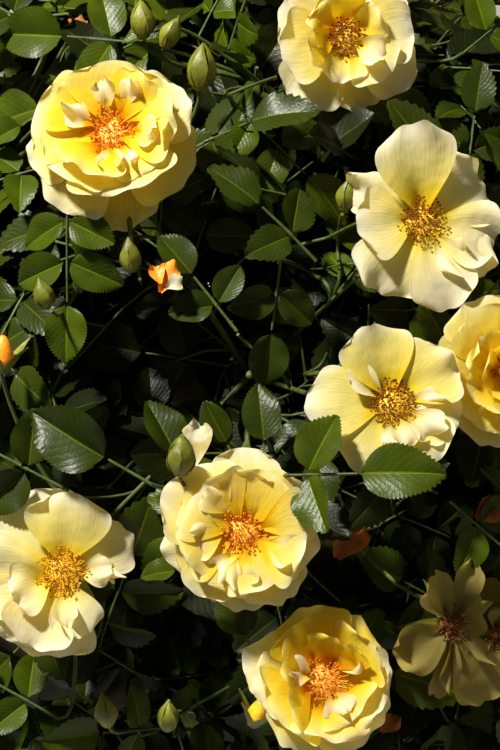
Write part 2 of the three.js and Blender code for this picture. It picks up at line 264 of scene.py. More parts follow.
def facing_place(entry):
    return seen_point(entry["across"] * MM, entry["up"] * MM, entry["depth"] * MM)


def leaning(entry):
    """The direction that a bloom or a blade in the view faces, with its lean."""
    aside = VIEW_RIGHT * math.tan(math.radians(entry["right"]))
    return (VIEW_DIRECTION + aside + VIEW_UP * math.tan(math.radians(entry["rise"]))).normalized()


def in_view(point):
    across, upward, distance = view_place(point)
    near = distance <= EYE_DISTANCE + FACING_DEPTH
    return near and abs(across) < FACING_HALF_WIDTH and abs(upward) < FACING_HALF_HEIGHT


def spiral_direction(i, count, sway, chance):
    """The direction of one of many places that are spread evenly over the crown and swayed by chance."""
    height = 1 - (i + 0.5) / count * (1 - math.sin(LOWEST_LEAVES))
    turn = i * GOLDEN_ANGLE + chance.between(-sway, sway)
    level = math.sqrt(1 - height * height)
    return Vector((math.sin(turn) * level, -math.cos(turn) * level, height))


def facing_sites():
    return [
        Site(i, facing_place(bloom), leaning(bloom), bloom["size"] / 2 * MM, True, bloom["kind"])
        for i, bloom in enumerate(FACING_BLOOMS)
    ]


def spread_sites():
    sites = []
    for i in range(SHOOT_COUNT):
        chance = Chance(i + 1)
        direction = spiral_direction(i, SHOOT_COUNT, 0.12, chance)
        blooms = i % LEAFY_EVERY != 0 and direction.z > LOWEST_BLOOMS
        share = 1 + (BLOOM_LIFT if blooms else -LEAFY_DROP) + chance.between(-0.04, 0.03)
        centre = crown_point(direction, share)
        facing = (direction + UP * chance.between(0.2, 0.6)).normalized()
        radius = BLOOM_RADIUS * chance.between(0.88, 1.08)
        kind = SPREAD_KINDS[i % len(SPREAD_KINDS)]
        if not blooms or not in_view(centre):
            sites.append(Site(FIRST_SPREAD_SITE + i, centre, facing, radius, blooms, kind))
    return sites


def draw_back(site):
    """Draws a site back from the walls of its mass's space, at the same share of the reach."""
    offset = site.centre - CROWN_MIDDLE
    share = offset.length / crown_reach(offset.normalized())
    for wall in site.mass.walls:
        room = wall.dot(offset) - site.radius - SPACE_MARGIN
        if room < 0:
            offset -= wall * room
    site.direction = offset.normalized()
    site.centre = crown_point(site.direction, share)


def shoot_curve(site):
    """From the stem of its mass to the back of its bloom, or to its last leaf."""
    start, end = site.mass.stem
    fork = start.lerp(end, site.fork)
    tip = site.centre - site.facing * site.radius * (0.1 if site.blooms else 0)
    span = (tip - fork).length
    leave = (site.mass.direction + site.direction).normalized()
    return bend(fork, fork + leave * span * FORK_PULL, tip - site.facing * span * BLOOM_PULL, tip)


def grow_limbs():
    """Gives each mass its cane, its stem and the walls of its space."""
    for mass in MASSES:
        foot = mass.stub_foot + mass.stub_direction * (STUB_LENGTH + SEAT)
        tip = crown_point(mass.direction, MASS_ROOT)
        pull = (tip - foot).length * CANE_PULL
        mass.cane = bend(foot, foot + mass.stub_direction * pull, tip - mass.direction * pull, tip)
        mass.stem = (tip + mass.direction * SEAT, crown_point(mass.direction, MASS_STEM_END))
        others = [other for other in MASSES if other is not mass]
        mass.walls = [(mass.direction - other.direction).normalized() for other in others]


def grow_sites():
    sites = facing_sites() + spread_sites()
    for site in sites:
        offset = site.centre - CROWN_MIDDLE
        site.mass = max(MASSES, key=lambda mass: mass.direction.dot(offset))
        draw_back(site)
        site.spread = site.direction.angle(site.mass.direction)
    for mass in MASSES:
        own = sorted((s for s in sites if s.mass is mass), key=lambda s: -s.spread)
        for rank, site in enumerate(own):
            site.fork = LOWEST_FORK + (1 - LOWEST_FORK) * (rank + 0.5) / len(own)
    for site in sites:
        site.curve = shoot_curve(site)
    return sites


grow_limbs()
SITES = grow_sites()
BLOOMS = [site for site in SITES if site.blooms]

# Finer twigs, their leaves and the buds, which the model leaves out
TWIG_COUNT = 620
TWIG_LAYERS = [(0.9, 1.0), (0.66, 0.84), (0.84, 0.96), (0.5, 0.68)]
LEAF_PLACES = [0.5, 0.68, 0.84, 1.0]
BLOOMING_LEAF_PLACES = [0.5, 0.66, 0.8]
LEAFY_LEAF_PLACES = [0.5, 0.7, 0.85, 1.0]
SHOOT_SHARE = 0.9
FINE_SHARE = 0.8
# Twigs that end further in than this share of the crown's reach get the deep green leaves, which are painted
# shade
PAINTED_SHADE_BELOW = 0.87
LEAF_LIMIT = 1.05
LEAF_RIB = 1.0 * MM
LEAF_STEP = 0.62
LEAF_PETIOLE = 0.55
SPRAY_DROOP = 0.25
FACING_DROOP = 0.12
SHOOT_FORKS = 16
TWIG_RISE = 40 * MM
BLADE_REACH = 30 * MM
PAIR_REACH = 17 * MM
BLADE_MARGIN = 6 * MM
BLADE_RADIUS = 22 * MM
FRONT_COLUMNS = 40
LEAFLET_COLUMNS = 18
COARSE_COLUMNS = 8
LEAF_TINTS = 4

# Places in the view, in mm from its middle, where the foliage falls back into the dark of the bush
HOLLOW_DEPTH = 100 * MM
HOLLOW_SINK = 55 * MM
HOLLOWS = rows(
    "across up radius",
    (-54, 20, 41),
    (-20, 48, 31),
    (-30, -140, 38),
    (90, -66, 28),
    (104, 138, 32),
    (-14, 12, 26),
    (-86, 4, 22),
    (28, 62, 20),
    (14, 36, 24),
    (40, -100, 16),
    (10, 0, 20),
)

# The finishes of buds, sepals and dried petals, in the order of green_finishes
SEPAL_GREEN, BUD_APRICOT, PETAL_DRIED, PETAL_SHED, BUD_LEMON = range(5)

# Leaves, buds, stalks and dried petals that the eye sees in front of the rest. Across and up are the
# place in the view where each starts, and depth is how far it lies behind the front of the blooms, in
# mm. A heading runs anticlockwise from the right of the view, and a blade leans to the right and
# upwards, in degrees. A tint is a place in leaf_finishes. A closed bud is sepal green.
FACING_LEAVES = rows(
    "across up depth heading pairs size right rise tint stalk lift",
    (18, -46, 1, 3, 1, 1.08, -4, 16, 2, 0.4, 0.36),
    (-84, 88, 10, -91, 2, 0.92, -10, 20, 2),
    (-45, 152, 12, 174, 1, 1.08, -20, 8, 2),
    (-60, 132, 22, 193, 1, 1.0, -26, 30, 2),
    (-96, 120, 16, 210, 0, 0.55, -16, 20, 2),
    (-96, 158, -4, 150, 2, 0.9, -8, 20, 1),
    (-84, 166, -2, 186, 1, 0.9, -14, 12, 2),
    (-36, 160, 10, 196, 0, 0.5, 20, 34, 2),
    (-10, 128, 20, -44, 2, 0.88, 10, 12, 2),
    (-6, 20, 26, 128, 1, 0.8, -24, 36),
    (14, 54, 28, -96, 1, 0.85, 24, 30),
    (-46, -50, 10, 150, 0, 1.15, -12, 10),
    (-86, -52, 12, 152, 1, 0.96, -18, 24),
    (-28, -52, 26, 112, 0, 0.8, 18, 4),
    (8, -46, 26, 96, 0, 0.74, -8, 14),
    (-4, -44, 26, 118, 0, 0.7, -14, 6),
    (-23, -88, 20, 190, 0, 0.52, -10, 40, 2),
    # This leaf has tint 0, the deep green that is painted shade
    (-92, 172, 6, 178, 0, 0.8, -8, 10, 0),
    (-88, -158, 8, 150, 1, 0.9, 8, 32, 2),
    (4, -136, 22, 110, 0, 0.85, 0, 20),
    (92, -58, 26, -40, 1, 0.9, 10, 26, 2),
    (98, 148, 16, 40, 1, 0.85, 10, 24, 2),
    (-72, -120, 30, 120, 1, 0.85, -8, 30),
)
FACING_BUDS = rows(
    "across up depth heading length finish",
    (-49, 154, 4, 92, 17, SEPAL_GREEN),
    (-40, 150, 6, 62, 14, SEPAL_GREEN),
    (-23, 130, 4, 86, 19, SEPAL_GREEN),
    (-54, 47, 8, 96, 13, SEPAL_GREEN),
    (-93, 30, 6, 104, 13, SEPAL_GREEN),
    (-32, -47, -2, 88, 17, SEPAL_GREEN),
    (-38, -164, 6, 86, 14, SEPAL_GREEN),
    (-65, -162, 6, 98, 15, SEPAL_GREEN),
    (43, 75, 22, 80, 13, SEPAL_GREEN),
    (-114, 0, 4, 86, 17, BUD_APRICOT),
    (1, -162, 2, 70, 15, BUD_LEMON),
)
FACING_STALKS = [((-14, 127, 12), (12, 137, 14)), ((24, 64, 18), (50, 70, 14))]
DRIED_PETALS = rows(
    "across up depth heading size finish",
    (-41, 38, 9, 64, 16, BUD_APRICOT),
    (-38, 40, 6, 30, 8, PETAL_SHED),
    (-41, 42, 5, 110, 9, BUD_APRICOT),
    (-27, -44, 16, 84, 22, PETAL_SHED),
    (40, -84, 22, 60, 17),
    (104, -66, 24, 30, 15),
    (60, -164, 16, 40, 14),
    (-80, 158, 24, 80, 10),
)


def link(name, data):
    """A new object in the scene."""
    made = bpy.data.objects.new(name, data)
    bpy.context.scene.collection.objects.link(made)
    return made


class Stock:
    """Copies of small meshes, gathered until they are joined into one piece."""

    def __init__(self):
        self.parts = []
        self.count = 0

    def add(self, blank, place, tint=0, glow=None):
        points, corners, sizes, tints, surface = blank
        turned = points @ np.array(place.to_3x3()).T + np.array(place.translation)
        glow = np.zeros(len(points)) if glow is None else glow
        self.parts.append((turned, corners + self.count, sizes, tints + tint, surface, glow))
        self.count += len(points)

    def piece(self, name, materials):
        """One object of everything gathered, at the origin."""
        points, corners, sizes, tints, surfaces, glows = map(np.concatenate, zip(*self.parts))
        mesh = bpy.data.meshes.new(name)
        mesh.vertices.add(self.count)
        mesh.vertices.foreach_set("co", points.ravel())
        mesh.loops.add(len(corners))
        mesh.loops.foreach_set("vertex_index", corners)
        mesh.polygons.add(len(sizes))
        mesh.polygons.foreach_set("loop_start", np.concatenate([[0], np.cumsum(sizes)[:-1]]))
        mesh.polygons.foreach_set("material_index", tints)
        mesh.polygons.foreach_set("use_smooth", np.full(len(sizes), True))
        surface = mesh.uv_layers.new(name="surface")
        surface.data.foreach_set("uv", surfaces[corners].ravel())
        glow = mesh.attributes.new("glow", "FLOAT", "POINT")
        glow.data.foreach_set("value", glows)
        mesh.update(calc_edges=True)
        mesh.validate()
        for material in materials:
            mesh.materials.append(material)
        return link(name, mesh)


def list_faces(bm):
    """Lists the faces by their first two corners, since operators leave some in a new order each run."""
    bm.verts.index_update()
    bm.faces.sort(key=lambda face: face.verts[0].index * len(bm.verts) + face.verts[1].index)


def blank_of(bm, surface=None):
    """A bmesh as arrays that a Stock copies: points, corners, sizes of faces, tints and a map."""
    list_faces(bm)
    points = np.array([v.co for v in bm.verts])
    corners = np.array([v.index for f in bm.faces for v in f.verts])
    sizes = np.array([len(f.verts) for f in bm.faces])
    tints = np.array([f.material_index for f in bm.faces])
    flat = np.zeros((len(points), 2)) if surface is None else np.array(surface)
    bm.free()
    return points, corners, sizes, tints, flat


def place_of(origin, axis, facing, size=1.0):
    """A matrix that lays +X along the axis and turns +Z towards the facing direction."""
    z = square_to(axis, facing)
    y = z.cross(axis)
    turned = Matrix((axis, y, z)).transposed().to_4x4()
    turned.translation = origin
    return turned @ Matrix.Scale(size, 4)


def leaflet_blank(seed, columns, bands, folds=(0.1, 0.5)):
    """A leaflet of unit length along +X: two serrated halves that meet in a fold at the midrib."""
    chance = Chance(seed)
    fold = chance.between(*folds)
    notch = min(0.015, 0.42 / columns)
    curl = chance.between(0.02, 0.3)
    twist = chance.between(-0.12, 0.12)
    ripple = chance.between(0.01, 0.035)
    half_width = chance.between(0.33, 0.37)
    bm = bmesh.new()
    bmesh.ops.create_grid(bm, x_segments=columns, y_segments=bands, size=0.5)
    bmesh.ops.mirror(bm, geom=bm.verts[:] + bm.edges[:] + bm.faces[:], axis="Y", merge_dist=-1)
    half = len(bm.verts) // 2
    uv = []
    for index, v in enumerate(bm.verts):
        side = 1 if index < half else -1
        along = v.co.x + 0.5
        across = v.co.y * side + 0.5
        column = round(along * columns)
        outline = 2.42 * along**0.55 * (1 - along) ** 0.75 * half_width
        tooth = 0.0
        if across > 0.99 and 0 < column < columns:
            tooth = 1 if column % 2 else -1
        y = outline * across + notch * tooth
        x = along + across * 0.03 * (1 - along) + 1.2 * notch * tooth
        vein = 0.001 * (1 if column % 2 else -1) * (0.2 < across < 0.9)
        dome = 0.05 * math.sin(across * math.pi) * half_width
        wave = ripple * across**2 * math.sin(along * 11 + seed + side)
        z = y * fold + dome + vein + wave - curl * along**2 + twist * y * side * along
        v.co = (x, y * side, z)
        uv.append((along, across))
    return blank_of(bm, uv)


def cone_bmesh(sides, foot, tip):
    """A cone of unit height that stands on the origin."""
    bm = bmesh.new()
    bmesh.ops.create_cone(bm, cap_ends=False, segments=sides, radius1=foot, radius2=tip, depth=1)
    bmesh.ops.translate(bm, verts=bm.verts, vec=(0, 0, 0.5))
    return bm


def rib_blank():
    """A stalk of unit length along +X that tapers a little."""
    bm = cone_bmesh(3, 1, 0.7)
    bmesh.ops.rotate(bm, verts=bm.verts, cent=(0, 0, 0), matrix=Matrix.Rotation(math.pi / 2, 3, "Y"))
    return blank_of(bm)


def thorn_blank():
    """A hooked prickle of unit length along +Z."""
    bm = cone_bmesh(6, 0.28, 0.02)
    upright = [e for e in bm.edges if abs(e.verts[0].co.z - e.verts[1].co.z) > 0.5]
    bmesh.ops.subdivide_edges(bm, edges=upright, cuts=2)
    for v in bm.verts:
        v.co.y -= 0.3 * v.co.z**2
        v.co.x *= 0.6
    return blank_of(bm)


class LeafKit:
    """The leaflets that leaves are put together from."""

    def __init__(self, sizes):
        self.front = [leaflet_blank(60 + i, FRONT_COLUMNS, 3, (0.25, 0.6)) for i in range(6)]
        self.fine = [leaflet_blank(20 + i, LEAFLET_COLUMNS, 2) for i in range(7)]
        self.coarse = [leaflet_blank(40 + i, COARSE_COLUMNS, 1) for i in range(5)]
        self.rib = rib_blank()
        self.leaflet = sizes.leaflet_length

    def add_rib(self, stock, start, end):
        along = end - start
        axis = along.normalized()
        facing = UP if abs(axis.z) < 0.9 else VIEW_RIGHT
        stretch = place_of(start, axis, facing) @ Matrix.Diagonal((along.length, LEAF_RIB, LEAF_RIB, 1))
        stock.add(self.rib, stretch, LEAF_TINTS)

    def leaf(
        self, stock, root, axis, facing, seed, blanks, pairs, size, tint, droop, stalk=1.0, clear=False
    ):
        """A compound leaf: a rib with pairs of leaflets and one at its tip. A clear one hides no bloom."""
        chance = Chance(seed)
        normal = square_to(axis, facing)
        sideways = normal.cross(axis)
        at = root
        onward = axis.copy()
        stops = [self.leaflet * LEAF_PETIOLE * stalk] + [self.leaflet * LEAF_STEP] * pairs
        for stop, reach in enumerate(stops):
            onward = (onward - normal * droop * reach / self.leaflet * 0.4).normalized()
            start, at = at, at + onward * reach * size
            self.add_rib(stock, start, at)
            last = stop == len(stops) - 1
            shrink = size * (1 if last else 0.8 + 0.1 * stop) * chance.between(0.88, 1.08)
            for arm in [0] if last else [-1, 1]:
                turn = arm * math.radians(chance.between(58, 74))
                along = onward * math.cos(turn) + sideways * math.sin(turn)
                along += normal * chance.between(-0.18, 0.2)
                along.normalize()
                tilt = normal + sideways * chance.between(-0.3, 0.3) + axis * chance.between(-0.25, 0.25)
                blank = blanks[int(chance.next() * len(blanks))]
                foot = at + along * 0.04 * self.leaflet
                if not clear or not hides_facing_bloom(foot + along * 0.7 * self.leaflet * shrink, 1.08):
                    stock.add(blank, place_of(foot, along, tilt, self.leaflet * shrink), tint)


def shades_bloom(point, margin=0.95):
    """True where a leaf here would lie in or over a bloom."""
    for site in BLOOMS:
        offset = point - site.centre
        depth = offset.dot(site.facing)
        behind = 0.7 if site.seen else 0.25
        beside = (offset - site.facing * depth).length
        if -behind * site.radius <= depth <= 3.5 * site.radius and beside < site.radius * margin:
            return True
    return hides_facing_bloom(point, margin + 0.1)


def stands_before(point, seen):
    """True where a point stands before a place that the eye sees: across, up, distance and radius."""
    across, upward, distance = view_place(point)
    if distance > EYE_DISTANCE + FACING_DEPTH:
        return False
    return any(distance < far and math.hypot(x - across, y - upward) < radius for x, y, far, radius in seen)


def hides_facing_bloom(point, margin):
    seen = [site for site in BLOOMS if site.seen]
    return stands_before(point, ((*view_place(site.centre), site.radius * margin) for site in seen))


def hides_facing_leaf(point):
    return stands_before(point, FACING_BLADES)


def facing_blades():
    """Where the eye sees the middles of the leaves in front, each with the room that it keeps free."""
    blades = []
    for entry in FACING_LEAVES:
        reach = (BLADE_REACH + PAIR_REACH * entry["pairs"]) * entry["size"]
        across, upward, distance = view_place(facing_place(entry) + view_heading(entry["heading"]) * reach)
        blades.append((across, upward, distance + BLADE_MARGIN, BLADE_RADIUS))
    return blades


FACING_BLADES = facing_blades()


def hollow_shares(point):
    """How far the eye sees a point from the middle of each hollow, as shares of the hollow's radius."""
    across, upward, distance = view_place(point)
    if distance > EYE_DISTANCE + HOLLOW_DEPTH:
        return []
    return [
        math.hypot(hollow["across"] * MM - across, hollow["up"] * MM - upward) / (hollow["radius"] * MM)
        for hollow in HOLLOWS
    ]


def in_hollow(point):
    return any(share < 1 for share in hollow_shares(point))


def sunk(point):
    """The point drawn back into the dark where it would cross a hollow."""
    pull = max([0.0] + [min(1.0, 2.2 - 2 * share) for share in hollow_shares(point)])
    return point - VIEW_DIRECTION * (pull * HOLLOW_SINK)


# A finer twig that leaves a shoot, with the mass that it belongs to
Twig = namedtuple("Twig", "mass curve direction share number")


class Branching:
    """Finds the shoot that a finer twig leaves, and draws the twig."""

    def __init__(self):
        shares = [k / SHOOT_FORKS for k in range(3, SHOOT_FORKS - 1)]
        self.owners = [(site, share) for site in SITES for share in shares]
        self.starts = [site.curve(share) for site, share in self.owners]
        self.places = np.array([tuple(start) for start in self.starts])
        self.depths = np.linalg.norm(self.places - np.array(CROWN_MIDDLE), axis=1)

    def reach(self, end, arrive):
        """The mass of the nearest shoot further in, and a curve that leaves that shoot."""
        spans = np.linalg.norm(self.places - np.array(end), axis=1)
        too_far_out = self.depths > (end - CROWN_MIDDLE).length - TWIG_RISE
        nearest = int(np.argmin(spans + too_far_out * CROWN_RADIUS))
        site, share = self.owners[nearest]
        start = self.starts[nearest]
        span = spans[nearest]
        leave = (slope(site.curve, share) + (end - start).normalized()).normalized()
        return site.mass, bend(start, start + leave * span * 0.35, end - arrive * span * 0.3, end)


def grow_facing_twigs():
    """The leaves and buds that the eye sees in front, each with its root, its mass and its twig."""
    branching = Branching()
    twigs = []
    for entry in FACING_LEAVES + FACING_BUDS:
        root = facing_place(entry)
        twigs.append((entry, root, *branching.reach(root, view_heading(entry["heading"], 1.6))))
    return twigs


def grow_twigs():
    """Twigs spread evenly over the crown in four layers, each from the nearest shoot further in."""
    branching = Branching()
    twigs = []
    for i in range(TWIG_COUNT):
        chance = Chance(i + TWIG_SEED)
        direction = spiral_direction(i, TWIG_COUNT, 0.1, chance)
        share = chance.between(*TWIG_LAYERS[i % len(TWIG_LAYERS)])
        end = crown_point(direction, share)
        mass, curve = branching.reach(end, (direction + UP * 0.4).normalized())
        twigs.append(Twig(mass, curve, direction, share, i))
    return twigs


def is_barred(point):
    """True where no leaf of a spray may lie."""
    return shades_bloom(point) or in_hollow(point) or hides_facing_leaf(point)


def spray_chance(number):
    return Chance(number * 7 + 11)


def spray_leaves(leaflet, curve, places, direction, number):
    """The leaves of one twig, set round it by the golden angle, each with its place along the twig."""
    chance = spray_chance(number)
    chance.next()  # The first one is the tint's
    leaves = []
    for k, t in enumerate(places):
        root = curve(t)
        tangent = slope(curve, min(t, 0.98))
        out = square_to(tangent, UP + direction * 0.5)
        around = Matrix.Rotation(k * GOLDEN_ANGLE + chance.between(0, 6.3), 3, tangent)
        axis = ((around @ out) * 0.9 + tangent * 0.5 + direction * 0.25).normalized()
        tilt = Vector((chance.between(-1, 1), chance.between(-1, 1), chance.between(-0.4, 1)))
        facing = (direction + UP * 0.55 + tilt * 0.45).normalized()
        pairs = 2 if chance.next() < 0.7 else 1
        size = chance.between(0.82, 1.12)
        tip = root + axis * leaflet * (1.0 + LEAF_STEP * pairs) * size
        offset = tip - CROWN_MIDDLE
        outside = offset.length > crown_reach(offset.normalized()) * LEAF_LIMIT
        barred = (is_barred(point) for point in (root.lerp(tip, 0.6), tip))
        if abs(axis.dot(facing)) <= 0.92 and not outside and not any(barred):
            leaves.append((t, root, axis, facing, number * 13 + k, pairs, size))
    return leaves


def shortened(curve, share):
    return lambda t: curve(t * share)


def add_line(lines, curve, steps, foot, tip):
    """A line along a curve, with its thickness at each point."""
    spline = lines.splines.new("POLY")
    spline.points.add(steps)
    for k, point in enumerate(spline.points):
        point.co = (*sunk(curve(k / steps)), 1)
        point.radius = foot + (tip - foot) * k / steps
    spline.use_smooth = True


def add_spray(kit, stock, curve, places, direction, share, number):
    """The leaves of one twig, all of one tint."""
    # Sprays further in get tint 0, the deep green that paints the shade inside the bush; the outer ones get
    # one of the other tints at random
    tint = 1 + int(spray_chance(number).next() * (LEAF_TINTS - 1)) if share >= PAINTED_SHADE_BELOW else 0
    blanks = kit.fine if share > FINE_SHARE else kit.coarse
    for leaf in spray_leaves(kit.leaflet, curve, places, direction, number):
        _, root, axis, facing, seed, pairs, size = leaf
        kit.leaf(stock, root, axis, facing, seed, blanks, pairs, size, tint, SPRAY_DROOP, clear=True)


def add_facing_leaf(kit, stock, entry, root, seed):
    """A leaf in front of the rest, laid in the view plane with its lean."""
    axis = view_heading(entry["heading"], entry.get("lift", 0))
    shape = (entry["pairs"], entry["size"], entry.get("tint", 1), FACING_DROOP, entry.get("stalk", 1))
    kit.leaf(stock, root, axis, leaning(entry), seed, kit.front, *shape)


def petal_table(first, table):
    """Rows of petals under their names, for each bloom or kind of bloom."""
    names = first + " foot length width rise lay cup ruffle tone"
    return {bloom: rows(names, *petals) for bloom, petals in table.items()}


# The rings of petals of each kind of bloom, from the outside in. Feet, lengths and widths are shares of
# the bloom's radius, rise and lay are the petal's slope at its foot and at its rim in degrees, and tone
# is that of the petal's foot and of its rim: from 0, the cream of a rim, to 4, the orange of a heart.
PETAL_RINGS = petal_table("count", {
    "fresh": [
        (5, 0.14, 1.0, 0.62, 14, -24, 0.08, 0.03, (2.6, 1.05)),
        (6, 0.16, 0.88, 0.58, 34, 4, 0.16, 0.04, (2.8, 1.2)),
        (5, 0.18, 0.68, 0.48, 48, 30, 0.28, 0.05, (3.0, 1.6)),
        (4, 0.21, 0.5, 0.34, 58, 56, 0.36, 0.06, (3.4, 1.9)),
        (3, 0.24, 0.3, 0.12, 66, 0, 0.3, 0.1, (1.0, -0.4)),
    ],
    "medium": [
        (6, 0.14, 0.9, 0.54, 12, -16, 0.08, 0.04, (2.2, 0.7)),
        (6, 0.17, 0.76, 0.47, 30, 0, 0.14, 0.05, (2.4, 0.9)),
        (5, 0.2, 0.58, 0.38, 44, 18, 0.22, 0.06, (2.8, 1.2)),
        (4, 0.23, 0.34, 0.15, 56, 10, 0.3, 0.1, (1.8, 0.4)),
    ],
    "golden": [
        (5, 0.14, 0.92, 0.64, 14, -14, 0.06, 0.05, (1.9, 0.6)),
        (4, 0.17, 0.8, 0.56, 26, 0, 0.1, 0.06, (2.0, 0.7)),
        (1, 0.2, 0.46, 0.2, 46, 10, 0.24, 0.1, (1.4, 0.0)),
    ],
    "pale": [
        (5, 0.14, 0.96, 0.64, 22, -10, 0.08, 0.11, (1.3, -0.3)),
        (2, 0.18, 0.78, 0.46, 38, 8, 0.16, 0.1, (1.3, -0.3)),
        (1, 0.2, 0.38, 0.16, 52, 14, 0.3, 0.14, (1.0, -0.2)),
    ],
    "aged": [
        (5, 0.14, 0.94, 0.6, 26, -8, 0.08, 0.07, (1.9, 0.6)),
        (3, 0.18, 0.76, 0.46, 40, 12, 0.2, 0.1, (1.9, 0.7)),
        (5, 0.22, 0.36, 0.15, 66, -10, 0.4, 0.16, (0.8, -0.4)),
    ],
    "spent": [
        (4, 0.14, 1.1, 0.56, 2, -64, 0.24, 0.08, (1.4, 0.3)),
        (2, 0.16, 1.0, 0.46, 30, -20, 0.3, 0.1, (1.6, 0.3)),
        (2, 0.18, 0.6, 0.26, 56, 20, 0.36, 0.14, (1.6, 0.3)),
    ],
})
